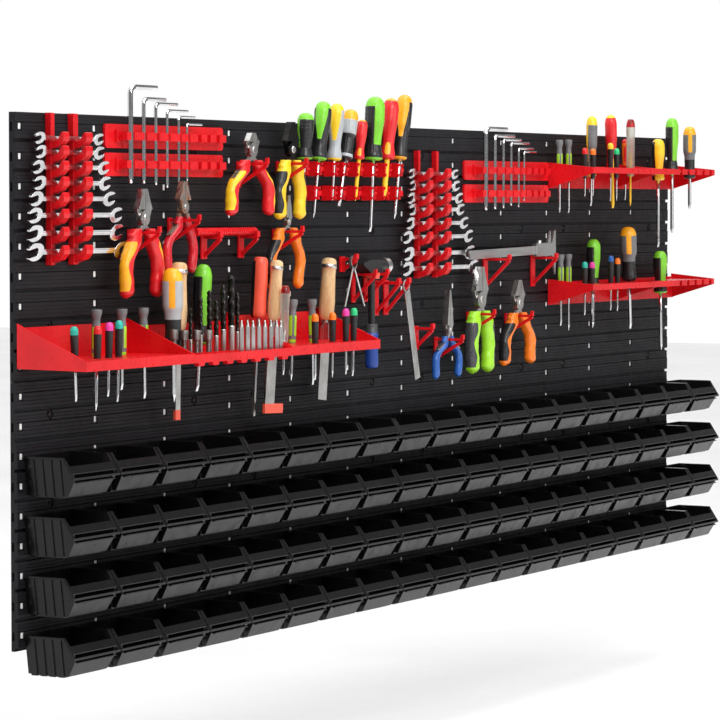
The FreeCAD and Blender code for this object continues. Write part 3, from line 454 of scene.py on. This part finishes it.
def look_tongue(t, turn):
    """Coloured dome whose tongue reaches down the front, and a ring at the foot."""
    off = (turn - FRONT_LEFT - 0.15 + math.pi) % (2 * math.pi) - math.pi
    wide = 0.30 + 0.50 * min(1.0, max(0.0, (t - 0.34) * 2.4))
    return max(min((wide - abs(off)) * 6, (t - 0.34) * 20), (t - 0.88) * 20, (0.03 - t) * 20), -1.0


def look_seal(t, turn):
    """Thin coloured dome and a small inlay low on the front."""
    return max(oval(t, turn, 0.06, 0.27, 0.42, 1), (t - 0.95) * 20), -1.0


def look_panel(t, turn):
    """Coloured dome and stripe over a light panel, dark below."""
    stripe = min(min(t - 0.50, 0.86 - t) * 20, (math.cos(turn - FRONT_LEFT) - 0.95) * 12)
    light = min(min(t - 0.36, 0.84 - t) * 20, (math.cos(turn - FRONT_LEFT) + 0.2) * 4)
    return max(stripe, (t - 0.84) * 20), min(light, -stripe)


def look_flank(t, turn):
    """A dark left flank."""
    return min((math.cos(turn - LEFT_EDGE) - 0.60) * 6, (0.93 - t) * 20), -1.0


def look_cap(t, _):
    """A turning cap on a knurled barrel."""
    return (t - 0.80) * 20, min(t - 0.74, 0.80 - t) * 60


def look_flare(t, turn):
    """Bell-shaped head, coloured panels on the middle and a coloured ring at the foot."""
    panels = min(min(t - 0.20, 0.64 - t) * 20, (math.cos(4 * turn) + 0.35) * 2)
    return max(panels, min(t - 0.05, 0.12 - t) * 40), min(t - 0.985, 1.0) * 40


def look_tester(t, _):
    """Clear barrel with a coloured cap."""
    return (t - 0.86) * 30, min(t - 0.05, 0.12 - t) * 60


LOOKS = {"edge": (look_edge, 3, 0.02, (0.20, 0.80)), "tongue": (look_tongue, 3, 0.03, (0.10, 0.80)),
         "seal": (look_seal, 6, 0.03, (0.10, 0.80)), "panel": (look_panel, 3, 0.03, (0.10, 0.34)),
         "flank": (look_flank, 2, 0.03, (0.10, 0.80)), "oval": (look_oval, 6, 0.05, (0.06, 0.30)),
         "band": (look_band, 16, 0.05, (0.12, 0.76)), "half": (look_half, 14, 0.05, (0.10, 0.80)),
         "cap": (look_cap, 16, 0.06, (0.10, 0.72)), "flare": (look_flare, 8, 0.06, (0.12, 0.60)),
         "tester": (look_tester, 8, 0.04, (0.15, 0.80))}


def turned_handle(mesh, points, style, colours):
    """A smooth fluted handle on a CAD handle's axis and outline."""
    foot, way, length, radius = axis_of(points)
    places, radii = profile_of(points, foot, way, length, radius)
    t, r = smooth_radii(places, radii, RINGS)
    side, out = cross_axes(way)
    look, flutes, depth, (low, high) = LOOKS[style]
    rings, tints = [], []
    ends = [(0.0, 0.82)] + [(p, 1.0) for p in t[1:-1]] + [(0.992, 0.93), (0.999, 0.72), (1.0, 0.4)]
    for place, scale in ends:
        base = float(np.interp(place, t, r)) * scale
        inside = max(0.0, min(1.0, (place - low) * 30, (high - place) * 30))
        ring = []
        for k in range(SIDES * 2):
            turn = math.pi * k / SIDES
            groove = max(0.0, math.cos(flutes * turn)) ** 2 * depth * inside
            rr = base * (1.0 - groove)
            second, third = look(place, turn)
            if second > 0.0:
                rr *= 0.985
            elif style in RIBBED:
                rr *= 1.0 - 0.022 * inside * (0.5 + 0.5 * math.cos(place * 82.0))
            ring.append(foot + way * length * place + side * rr * math.cos(turn) - out * rr * math.sin(turn))
            tints.append((second, third))
        rings.append(ring)
    mesh.tube(rings, plastic(*colours), tints)


CLIP_LOOKS = (("edge", ("black", "green")), ("tongue", ("black", "green")), ("tongue", ("pale", "yellow")),
              ("band", ("black", "amber", "pale")), ("seal", ("red", "amber")), ("half", ("black", "green")),
              ("seal", ("red", "amber")), ("tongue", ("black", "amber")))

# along the low shelves from left to right, then along the upper right shelf; the last is the loose driver's
LOW_SHELF_LOOKS = (
    ("cap", ("black", "teal")), ("cap", ("black", "red")),
    ("cap", ("black", "magenta")), ("cap", ("black", "teal")),
    ("flare", ("grey", "lime", "charcoal")), ("flare", ("grey", "lime", "charcoal")),
    ("flare", ("grey", "lime", "charcoal")), ("panel", ("black", "amber", "pale")),
    ("half", ("black", "green")), ("tester", ("clear", "red", "silver")),
    ("flare", ("grey", "lime", "charcoal")), ("cap", ("black", "orange")),
    ("flare", ("grey", "lime", "charcoal")), ("cap", ("black", "orange")),
    ("cap", ("black", "magenta")), ("cap", ("black", "mint")),
    ("flare", ("grey", "lime", "charcoal")), ("flare", ("grey", "lime", "charcoal")),
    ("cap", ("black", "teal")), ("cap", ("black", "magenta")),
    ("half", ("black", "green")), ("cap", ("black", "blue")),
    ("cap", ("black", "orange")), ("panel", ("black", "amber", "grey")),
    ("half", ("black", "green")))
HIGH_SHELF_LOOKS = (
    ("flare", ("grey", "lime", "charcoal")), ("flare", ("grey", "lime", "charcoal")),
    ("cap", ("black", "red")), ("cap", ("black", "orange")),
    ("edge", ("grey", "yellow")), ("cap", ("black", "yellow")),
    ("cap", ("black", "mint")), ("seal", ("red", "yellow")),
    ("tester", ("clear", "red", "silver")), ("oval", ("orange", "red")),
    ("half", ("black", "green")), ("panel", ("black", "amber", "grey")))
LOOSE_LOOK = ("flank", ("yellow", "black"))


def shaft(mesh, points, material, flat):
    """A driver's shaft whose last stretch is a flat blade or a cross point."""
    foot, way, length, radius = axis_of(points)
    side, out = cross_axes(way)
    rings = []
    tip = min(0.2, 9.0 * MM / length)
    for place in (0.0, tip * 0.15, tip * 0.5, tip, tip * 1.3, 0.5, 1.0):
        near = max(0.0, 1.0 - place / tip)
        wide = radius * (1.0 + 0.25 * near) if flat else radius * (1.0 - 0.7 * near)
        thin = radius * (1.0 - 0.8 * near) if flat else radius * (1.0 - 0.7 * near)
        ring = []
        for k in range(20):
            turn = 2 * math.pi * k / 20
            cross = 1.0 if flat else 1.0 - 0.4 * near * math.cos(2 * turn) ** 2
            ring.append(foot + way * length * place + side * wide * cross * math.cos(turn)
                        + out * thin * cross * math.sin(turn))
        rings.append(ring)
    mesh.tube(rings, material)


# places along the wall of the shafts with a yellow insulating sleeve
SLEEVED = (-184, -80, 831, 857)


def screwdrivers():
    """Every driver's handle and shaft, on the clip rails and in the shelves."""
    mesh = Mesh()
    for (points, _), look in zip(islands("clip_driver_handles"), CLIP_LOOKS):
        turned_handle(mesh, points, *look)
    mesh.build("clip_handles", "clip_driver_handles")
    low, high = [], []
    for points, _ in islands("shelf_driver_handles"):
        (high if points[:, 2].mean() > 0.25 else low).append(points)
    mesh = Mesh()
    for points, look in list(zip(low, LOW_SHELF_LOOKS)) + list(zip(high, HIGH_SHELF_LOOKS)):
        turned_handle(mesh, points, *look)
    mesh.build("shelf_handles", "shelf_driver_handles")
    mesh = Mesh()
    turned_handle(mesh, islands("screwdriver_loose_handle")[0][0], *LOOSE_LOOK)
    mesh.build("loose_handle", "screwdriver_loose_handle")
    for node in ("clip_driver_shafts", "shelf_driver_shafts", "screwdriver_loose_shaft"):
        mesh = Mesh()
        for k, (points, _) in enumerate(islands(node)):
            sleeved = any(abs(points[:, 0].mean() - x * MM) < 6 * MM for x in SLEEVED)
            shaft(mesh, points, plastic("yellow") if sleeved else CHROME, k % 3 != 1)
        mesh.build(node.replace("driver", "blade"), node)


# --- pliers ---------------------------------------------------------------------------------------

GRIP_LOOKS = {
    "vde_combination_pliers": (("red", "amber"), ("red", "amber")),
    "dipped_grip_pliers": (("crimson", None), ("crimson", None)),
    "vde_diagonal_cutter": (("red", "yellow"), ("red", "yellow")),
    "linesman_pliers": (("yellow", "black"), ("yellow", "black")),
    "long_nose_pliers": (("orange", "black"), ("orange", "black")),
    "needle_nose_pliers": (("blue", None), ("blue", None)),
    "heavy_combination_pliers": (("lime", "charcoal"), ("lime", "charcoal")),
    "diagonal_cutting_pliers": (("orange", "black"), ("orange", "black")),
}
STEEL_LOOKS = {"dipped_grip_pliers": RUSTY, "linesman_pliers": DARK_STEEL}
GRIP_RINGS = 40
GRIP_SIDES = 28
GRIP_RISE = 9.0 * MM


def slices(points, faces, count):
    """The bounds across X and Y of a welded mesh at even heights, from the top down."""
    edges = {tuple(sorted(pair)) for f in faces for pair in zip(f, f[1:] + f[:1])}
    a = points[[e[0] for e in edges]]
    b = points[[e[1] for e in edges]]
    low, high = points[:, 2].min(), points[:, 2].max()
    rows = []
    for k in range(count):
        z = high - (high - low) * (0.004 + 0.992 * k / (count - 1))
        cut = (a[:, 2] - z) * (b[:, 2] - z) < 0
        share = ((z - a[cut, 2]) / (b[cut, 2] - a[cut, 2]))[:, None]
        at = a[cut] + (b[cut] - a[cut]) * share
        rows.append((z, at[:, 0].min(), at[:, 0].max(), at[:, 1].min(), at[:, 1].max()))
    return rows


def risen(rows, pivot):
    """Carries a grip's first slices up and in towards the pivot."""
    z, x0, x1, y0, y1 = rows[0]
    top_up = []
    for share in (1.0, 0.75, 0.5, 0.25):
        centre = (x0 + x1) / 2
        centre += (pivot.x - centre) * 0.22 * share
        half = (x1 - x0) / 2 * (1.0 - 0.10 * share)
        top_up.append((z + GRIP_RISE * share, centre - half, centre + half, y0, y1))
    return top_up + rows


def owner(points, hanging):
    """The pair of pliers whose pivot belongs to this piece."""
    centre, top = (points.min(axis=0) + points.max(axis=0)) / 2, points[:, 2].max()
    near = {n: math.hypot(p.x - centre[0], p.z - centre[2]) for n, p in PIVOTS.items()
            if not hanging or p.z > top}
    return min(near, key=near.get)


def grip(mesh, points, faces):
    """A moulded grip: guard at the top, soft bulges, and an inlay with a wavy edge on its outer side."""
    name = owner(points, True)
    outer = 1.0 if points[:, 0].mean() > PIVOTS[name].x else -1.0
    base, inlay = GRIP_LOOKS[name][0 if outer < 0 else 1]
    rings, tints = [], []
    rows = risen(slices(points, faces, GRIP_RINGS), PIVOTS[name])
    flange = 0.75 if name.startswith("vde") else 0.35
    for k, (z, x0, x1, y0, y1) in enumerate(rows):
        t = k / (len(rows) - 1)
        guard = 1.0 + flange * math.exp(-((t - 0.09) / 0.028) ** 2)
        cover = 1.0 + 0.13 * math.exp(-((t - 0.25) / 0.08) ** 2)
        swell = 1.0 + (0.025 * math.cos(t * 34.0) if inlay else 0.0)
        close = 1.0 if t < 0.9 else math.sqrt(max(0.0, 1.0 - ((t - 0.9) / 0.105) ** 2))
        ring = []
        for i in range(GRIP_SIDES):
            turn = 2 * math.pi * i / GRIP_SIDES
            c, s = math.cos(turn), math.sin(turn)
            edge = 0.30 + 0.22 * math.sin(t * 15.0)
            inside = min((c * outer - edge) * 3.0, (t - 0.19) * 14.0, (0.90 - t) * 14.0)
            press = 0.985 if inlay and inside > 0.0 else 1.0
            square = (abs(c) ** 3 + abs(s) ** 3) ** (-1 / 3)
            reach = (0.45 + 0.55 * square) * swell * press * close
            wide = guard * (cover if c * outer > 0.0 else 1.0)
            ring.append(((x0 + x1) / 2 + c * reach * wide * (x1 - x0) / 2,
                         (y0 + y1) / 2 + s * reach * (y1 - y0) / 2, z))
            tints.append((inside, -1.0))
        rings.append(ring)
    mesh.tube(rings, plastic(base, inlay, gloss=0.30 if inlay else 0.22), tints)


def pliers():
    """The moulded grips of all pliers, and the steel halves with softened edges."""
    for name in PIVOTS:
        mesh = Mesh()
        for points, faces in islands(f"{name}_moving_grip"):
            grip(mesh, points, faces)
        mesh.build(f"{name}_grip", f"{name}_moving_grip")
        node = NODES[f"{name}_moving_jaw"]
        finish(node.name, STEEL_LOOKS.get(name, STEEL), 0.7)
    mesh = Mesh()
    for points, faces in islands("pliers_fixed_grips"):
        grip(mesh, points, faces)
    mesh.build("fixed_grips", "pliers_fixed_grips")
    mesh = Mesh()
    for points, faces in islands("pliers_fixed_halves"):
        mesh.add(points, faces, STEEL_LOOKS.get(owner(points, False), STEEL))
    piece = mesh.build("fixed_halves", "pliers_fixed_halves", smooth=False)
    soften(piece, 0.7)


# --- files, drills, bits, hammer ------------------------------------------------------------------

FILE_LOOKS = (WOOD, None, WOOD, WOOD)


def dipped_tip(mesh, points):
    """A thin red dip on the last stretch of a blade."""
    foot = points[points[:, 2] < points[:, 2].min() + 3 * MM].mean(axis=0)
    head = points[points[:, 2] > points[:, 2].max() - 3 * MM].mean(axis=0)
    way = (head - foot) / np.linalg.norm(head - foot)
    side, out = cross_axes(way)
    wide = np.abs((points - foot) @ side).max() + 0.3 * MM
    thin = np.abs((points - foot) @ out).max() + 0.3 * MM
    rings = [[foot + way * up + side * wide * a + out * thin * b for a, b in CORNERS]
             for up in (-0.3 * MM, 15 * MM)]
    mesh.tube(rings, plastic("coral"))


def files():
    """Turned wooden handles with a ferrule, and one moulded handle."""
    mesh = Mesh()
    for (points, _), material in zip(islands("file_handles"), FILE_LOOKS):
        if material is None:
            turned_handle(mesh, points, "flank", ("coral", "black"))
            continue
        foot, way, length, radius = axis_of(points)
        side, out = cross_axes(way)
        outline = ((0.0, 0.62), (0.01, 0.72), (0.06, 0.86), (0.16, 0.93), (0.30, 0.97), (0.50, 0.90),
                   (0.72, 0.84), (0.83, 0.88), (0.835, 0.95), (0.895, 0.95), (0.90, 0.90), (0.95, 0.88),
                   (0.985, 0.70), (1.0, 0.40))
        rings = []
        for place, scale in outline:
            middle = foot + way * length * place
            rings.append([middle + radius * scale * (side * math.cos(a) + out * math.sin(a))
                          for a in np.linspace(0, 2 * math.pi, 40, endpoint=False)])
        mesh.tube(rings[:9], material)
        mesh.tube(rings[8:10], STEEL)
        mesh.tube(rings[9:], material)
    mesh.build("files_handles", "file_handles")
    mesh = Mesh()
    for (points, faces), dipped in zip(islands("file_blades"), (True, False, True, False)):
        mesh.add(points, faces, STEEL)
        if dipped:
            dipped_tip(mesh, points)
    soften(mesh.build("files_blades", "file_blades", smooth=False), 0.4)


def twist_drills():
    """Drills with two helical flutes above a plain shank."""
    mesh = Mesh()
    for points, _ in islands("twist_drills"):
        foot, way, length, radius = axis_of(points)
        side, out = cross_axes(way)
        rings = []
        turns = length / (radius * 7.0)
        for k in range(70):
            place = k / 69
            cut = max(0.0, min(1.0, (place - 0.36) * 12)) * 0.42
            point = min(1.0, (1.0 - place) * length / radius + 0.12)
            ring = []
            for i in range(24):
                turn = 2 * math.pi * i / 24
                groove = max(0.0, math.cos(2 * (turn - place * turns * 2 * math.pi))) ** 1.5
                rr = radius * point * (1.0 - cut * groove)
                ring.append(foot + way * length * place + rr * (side * math.cos(turn) + out * math.sin(turn)))
            rings.append(ring)
        mesh.tube(rings[:26], STEEL)
        mesh.tube(rings[25:], DARK_STEEL)
    mesh.build("drills", "twist_drills")


def lathe(mesh, node, outline, material, sides=48, wave=None):
    """Turns an outline of (place, radius share) about a CAD node's axis."""
    points = islands(node)[0][0]
    foot, way, length, radius = axis_of(points)
    side, out = cross_axes(way)
    rings = []
    for place, share in outline:
        ring = []
        for a in np.linspace(0, 2 * math.pi, sides, endpoint=False):
            rr = radius * share * (1.0 - (wave(a, place) if wave else 0.0))
            ring.append(foot + way * length * place + rr * (side * math.cos(a) + out * math.sin(a)))
        rings.append(ring)
    mesh.tube(rings, material)


STRIKING_FACE = -0.1075           # the bright end of the head lies right of this


def hammer():
    """A ribbed tube, a moulded grip with a knurled top, and a head with one bright face."""
    mesh = Mesh()
    ribs = [(k / 60, 0.58 if k % 2 else 0.64) for k in range(61)]
    lathe(mesh, "hammer_shaft", ribs, plastic("black"))
    mesh.build("hammer_tube", "hammer_shaft")
    mesh = Mesh()
    outline = [(0.0, 0.45), (0.01, 0.55), (0.05, 0.62), (0.12, 0.66), (0.5, 0.60), (0.80, 0.64)]
    lathe(mesh, "hammer_grip", outline, plastic("navy"))
    outline = [(0.80, 0.635), (0.81, 0.60), (0.96, 0.60), (0.99, 0.56), (1.0, 0.4)]
    lathe(mesh, "hammer_grip", outline, plastic("charcoal"), 96,
          lambda a, place: 0.03 * max(0.0, math.cos(24 * a)))
    mesh.build("hammer_hold", "hammer_grip")
    mesh = Mesh()
    for points, faces in islands("hammer_head"):
        struck = [f for f in faces if min(points[i][0] for i in f) > STRIKING_FACE]
        mesh.add(points, [f for f in faces if f not in struck], plastic("black"))
        mesh.add(points, struck, STEEL)
    fused = mesh.build("hammer_block", "hammer_head", smooth=False)
    soften(fused, 1.0)
    finish("hammer_collar", plastic("coral"), 1.0)


# --- CAD nodes that keep their shape ----------------------------------------------------------------

def soften(piece, width, weld=True):
    """Rounds a piece's edges by width millimetres."""
    if weld:
        welded = piece.modifiers.new("weld", "WELD")
        welded.merge_threshold = 1e-6
    bevel = piece.modifiers.new("bevel", "BEVEL")
    bevel.width = width * MM
    bevel.segments = 2
    bevel.limit_method = "ANGLE"
    bevel.angle_limit = math.radians(32)
    bevel.harden_normals = True


def finish(node, material, width=0.0):
    """Gives a CAD node its material and soft edges."""
    piece = NODES[node]
    piece.data.materials.clear()
    piece.data.materials.append(material)
    if width:
        soften(piece, width)


def kept_nodes():
    """Materials and edge rounding for the nodes whose CAD shape shows."""
    for node in ("panels_lower", "panels_upper"):
        finish(node, PANEL, 0.35)
    for node in ("bin_row_1", "bin_row_2", "bin_row_3", "bin_row_4", "bin_loose_upper", "bin_loose_lower"):
        finish(node, BIN, 0.6)
    for node in ("screwdriver_clip_rails", "tool_shelf_left",
                 "bit_shelf_middle", "tool_shelf_middle_right", "tool_shelf_upper_right",
                 "tool_shelf_lower_right", "tool_hooks", "ribbed_bar"):
        finish(node, RED, 0.5)
    finish("hex_keys", CHROME, 0.4)
    finish("wall_screws", DARK_STEEL, 0.3)
    finish("caliper_beam", ETCHED, 0.3)
    finish("caliper_slider", ETCHED, 0.5)
    finish("hanging_file", STEEL, 0.4)
    finish("dividers", STEEL, 0.3)
    finish("nut_driver_bits", KNURLED, 0.4)
    finish("driver_bits", STEEL, 0.3)
    finish("pliers_pivots", STEEL, 0.4)


# --- backs of the panels' slots: dark plastic as painted shadow round a pale tab -------------------

PANEL_W, PANEL_H, RAIL_PITCH = 576.0, 390.0, 390.0 / 9
SLOTS = [(column * PANEL_W - 1152.0 + 10.5 + k * 192.0, PANEL_H - rail * RAIL_PITCH - 21.0)
         for column in range(4) for rail in range(18) for k in range(3)]


def block(mesh, x, y, z, material):
    """A closed box between the given pairs of millimetres."""
    corners = ((x[0], z[0]), (x[1], z[0]), (x[1], z[1]), (x[0], z[1]))
    mesh.tube([[(a * MM, depth * MM, b * MM) for a, b in corners] for depth in y], material)


def slot_backs():
    """Each slot's back: a pale tab in the middle, and dark plastic above and below it as painted shadow inside the
    slot.
    """
    mesh = Mesh()
    for x, z in SLOTS:
        # dark panel plastic above and below the pale tab: painted shadow inside the slot
        block(mesh, (x - 4.3, x + 4.3), (-10.4, -0.4), (z - 6.4, z - 4.0), PANEL)
        block(mesh, (x - 4.3, x + 4.3), (-10.4, -0.4), (z + 4.6, z + 6.4), PANEL)
        block(mesh, (x - 4.3, x + 4.3), (-9.8, -0.4), (z - 4.0, z + 4.6), PALE)
    mesh.build("slot_backs", "panels_upper", smooth=False, stands_for=False)


# --- wrenches, their racks and the key rails -------------------------------------------------------

WRENCH_LEAN = 0.16                # radians that the wrenches' tops lean out
FACE, FINGER_Y = -12.3, -28.6     # millimetres: the racks' back, and the outer end of a finger's seat


def slab(mesh, outline, centre, thick, lean, material):
    """Extrudes (x, z) millimetre points across the wall's normal and leans them out at the top."""
    c, n = math.cos(lean), math.sin(lean)
    count = len(outline)
    points = []
    for y in (-thick / 2, thick / 2):
        for x, z in outline:
            dz = z - centre[1]
            points.append((x * MM, (centre[0] + y * c - dz * n) * MM, (centre[1] + y * n + dz * c) * MM))
    faces = [tuple(range(count)), tuple(range(2 * count - 1, count - 1, -1))]
    faces += [(k, (k + 1) % count, count + (k + 1) % count, count + k) for k in range(count)]
    mesh.add(points, faces, material)


def head_outline(jaw, tilt):
    """An open wrench head about its centre, its mouth towards +X, turned by tilt."""
    high = jaw * 0.9 + 1.5
    long = high * 1.55
    start = math.asin((jaw * 0.45 + 1.9) / high)
    top = [(long * math.cos(a), high * math.sin(a)) for a in np.linspace(2.95, start, 16)]
    mouth = [(long * 0.80, jaw * 0.45)]
    mouth += [(jaw * (-0.1 - 0.45 * math.sin(a)), jaw * 0.45 * math.cos(a))
              for a in np.linspace(0, math.pi, 11)]
    mouth += [(long * 0.80, -jaw * 0.45)]
    loop = top + mouth + [(x, -z) for x, z in reversed(top)]
    c, n = math.cos(tilt), math.sin(tilt)
    return [(x * c - z * n, x * n + z * c) for x, z in loop]


def wrench(mesh, points):
    """A double open-ended wrench of a CAD wrench's length and jaw, its top leaning out a little."""
    low, high = points.min(axis=0) / MM, points.max(axis=0) / MM
    jaw = ((high[2] - low[2]) / 2 - 1.0) / 0.9
    centre = ((low[1] + high[1]) / 2, (low[2] + high[2]) / 2)
    reach = (jaw * 0.9 + 1.5) * 1.55 * 0.8
    shank = 1.6 + jaw * 0.19
    for x, way in ((low[0] + reach, -1), (high[0] - reach, 1)):
        outline = [(x + way * u, centre[1] + v) for u, v in head_outline(jaw, 0.2 * way)]
        slab(mesh, outline, centre, 3.4 + jaw * 0.14, WRENCH_LEAN, CHROME)
    ends = (low[0] + reach * 1.4, high[0] - reach * 1.4)
    slab(mesh, [(ends[0], centre[1] - shank), (ends[1], centre[1] - shank), (ends[1], centre[1] + shank),
                (ends[0], centre[1] + shank)], centre, 2.6 + jaw * 0.1, WRENCH_LEAN, CHROME)
    slab(mesh, [(ends[0] + 9, centre[1] - shank * 0.5), (ends[1] - 9, centre[1] - shank * 0.5),
                (ends[1] - 9, centre[1] + shank * 0.5), (ends[0] + 9, centre[1] + shank * 0.5)],
         centre, 3.2 + jaw * 0.12, WRENCH_LEAN, CHROME)




def finger(mesh, x0, x1, z, shank):
    """A rack finger that slants out and up in front of a wrench at height z."""
    low = z - shank - 1.0
    side = [(FACE - 3, low - 13), (FACE - 3, low), (FINGER_Y, low), (FINGER_Y - 5, z), (FINGER_Y - 10, z + 8),
            (FINGER_Y - 12, z + 9.4), (FINGER_Y - 14, z + 8), (FINGER_Y - 15, z + 2), (FINGER_Y - 14, z - 4),
            (FINGER_Y - 7, low - 7)]
    mesh.tube([[(x * MM, y * MM, h * MM) for y, h in side] for x in (x0, x1)], RED)


def wrench_racks():
    """The wrenches and, under each of them, the fingers of the two bars that carry it."""
    held = [points for node in ("wrenches", "wrench_loose") for points, _ in islands(node)]
    for name, node in (("wrench_set", "wrenches"), ("wrench_top", "wrench_loose")):
        mesh = Mesh()
        for points, _ in islands(node):
            wrench(mesh, points)
        soften(mesh.build(name, node, smooth=False), 0.55)
    mesh = Mesh()
    for points, _ in islands("wrench_racks"):
        low, high = points.min(axis=0) / MM, points.max(axis=0) / MM
        block(mesh, (low[0], high[0]), (FACE - 4.0, FACE), (low[2], high[2]), RED)
        for other in held:
            if abs(other[:, 0].mean() / MM - low[0]) < 200:
                z = (other[:, 2].min() + other[:, 2].max()) / 2 / MM
                jaw = ((other[:, 2].max() - other[:, 2].min()) / 2 / MM - 1.0) / 0.9
                finger(mesh, low[0] + 1, high[0] - 1, z, 1.6 + jaw * 0.19)
        block(mesh, (low[0], low[0] + 3.0), (FACE - 9.0, FACE), (low[2], high[2]), RED)
    soften(mesh.build("racks", "wrench_racks", smooth=False), 0.6)


# right ends of the key rails' bars and the raised blocks between their spare notches
SPARE_BLOCKS = (((-703, -695), (-685, -668), (-658, -641), (-631, -612)),
                ((467, 475), (485, 502), (512, 527), (537, 556)))


def key_rails():
    """The CAD rails with the spare blocks that carry each bar on to the right."""
    mesh = Mesh()
    for points, faces in islands("hex_key_rails"):
        mesh.add(points, faces, RED)
        middle = (points[:, 2].min() + points[:, 2].max()) / 2 / MM
        blocks = SPARE_BLOCKS[0 if points[:, 0].mean() < 0 else 1]
        block(mesh, (blocks[0][0], blocks[-1][1] + 5), (-22.0, -14.0), (middle - 8, middle + 8), RED)
        for x in blocks:
            block(mesh, x, (-34.5, -20.0), (middle - 5.8, middle + 5.8), RED)
    soften(mesh.build("key_rails", "hex_key_rails", smooth=False), 0.5)


# --- stage ----------------------------------------------------------------------------------------

def pale_surface():
    """A plain pale floor."""
    m = Nodes("pale_floor")
    m.colour(m.ramp(m.noise(1.5, 4.0), (0.80, 0.80, 0.80), (0.86, 0.86, 0.86)))
    m.rough(m.noise(30.0), 0.55, 0.75)
    return m.material


def area_light(name, place, target, size, power):
    data = bpy.data.lights.new(name, "AREA")
    data.shape = "RECTANGLE"
    data.size, data.size_y = size
    data.energy = power
    lamp = bpy.data.objects.new(name, data)
    lamp.location = place
    lamp.rotation_euler = (Vector(target) - Vector(place)).to_track_quat("-Z", "Y").to_euler()
    bpy.context.scene.collection.objects.link(lamp)


def studio_world():
    """A white surround that reflections and bounced light see shading to grey in front of the wall."""
    world = bpy.data.worlds.new("studio")
    world.use_nodes = True
    tree = world.node_tree
    background = tree.nodes["Background"]
    coords = tree.nodes.new("ShaderNodeTexCoord")
    split = tree.nodes.new("ShaderNodeSeparateXYZ")
    shade_off = tree.nodes.new("ShaderNodeMapRange")
    seen = tree.nodes.new("ShaderNodeLightPath")
    brighter = tree.nodes.new("ShaderNodeMath")
    brighter.operation = "MAXIMUM"
    for socket, value in (("From Min", -0.2), ("From Max", 0.3), ("To Min", 0.22), ("To Max", 1.0)):
        shade_off.inputs[socket].default_value = value
    background.inputs["Color"].default_value = (1.0, 1.0, 1.0, 1.0)
    tree.links.new(coords.outputs["Generated"], split.inputs["Vector"])
    tree.links.new(split.outputs["Y"], shade_off.inputs["Value"])
    sky = tree.nodes.new("ShaderNodeMapRange")
    total = tree.nodes.new("ShaderNodeMath")
    for socket, value in (("From Min", 0.50), ("From Max", 0.95), ("To Min", 0.0), ("To Max", 0.9)):
        sky.inputs[socket].default_value = value
    tree.links.new(split.outputs["Z"], sky.inputs["Value"])
    tree.links.new(shade_off.outputs["Result"], total.inputs[0])
    tree.links.new(sky.outputs["Result"], total.inputs[1])
    tree.links.new(total.outputs["Value"], brighter.inputs[0])
    tree.links.new(seen.outputs["Is Camera Ray"], brighter.inputs[1])
    tree.links.new(brighter.outputs["Value"], background.inputs["Strength"])
    return world


CAMERA_PLACE = (-5.0235, -2.7441, 0.2604)
CAMERA_YAW, CAMERA_PITCH = 1.0607, 0.04823     # radians from +Y towards +X, and down
CAMERA_LENS, SENSOR_WIDTH = 163.9, 36.0
FLOOR_SIZE, FLOOR_DROP = 30.0, 0.25
# name, place, target, size and power of each light
LIGHTS = (("key", (-2.6, -3.4, 2.6), (0.0, 0.0, 0.0), (2.4, 1.6), 115.0),
          ("fill", (0.6, -4.8, 1.3), (0.2, 0.0, 0.0), (2.5, 2.5), 50.0),
          ("top", (0.0, -1.0, 3.2), (0.0, 0.0, 0.0), (4.0, 1.2), 60.0))


def studio():
    """Floor, surround, lights and the camera at the photograph's angle."""
    bpy.ops.mesh.primitive_grid_add(x_subdivisions=8, y_subdivisions=8, size=FLOOR_SIZE)
    floor = bpy.context.object
    floor.name = "floor"
    floor.location = (0.0, 0.0, cad_low[2] - FLOOR_DROP)
    floor.data.materials.append(pale_surface())
    bpy.context.scene.world = studio_world()
    bpy.context.scene.view_settings.view_transform = "Standard"
    for light in LIGHTS:
        area_light(*light)
    data = bpy.data.cameras.new("camera")
    data.lens = CAMERA_LENS
    data.sensor_width = SENSOR_WIDTH
    camera = bpy.data.objects.new("camera", data)
    camera.location = CAMERA_PLACE
    camera.rotation_euler = (math.pi / 2 - CAMERA_PITCH, 0.0, -CAMERA_YAW)
    bpy.context.scene.collection.objects.link(camera)
    bpy.context.scene.camera = camera


kept_nodes()
screwdrivers()
pliers()
files()
twist_drills()
hammer()
slot_backs()
wrench_racks()
key_rails()
studio()
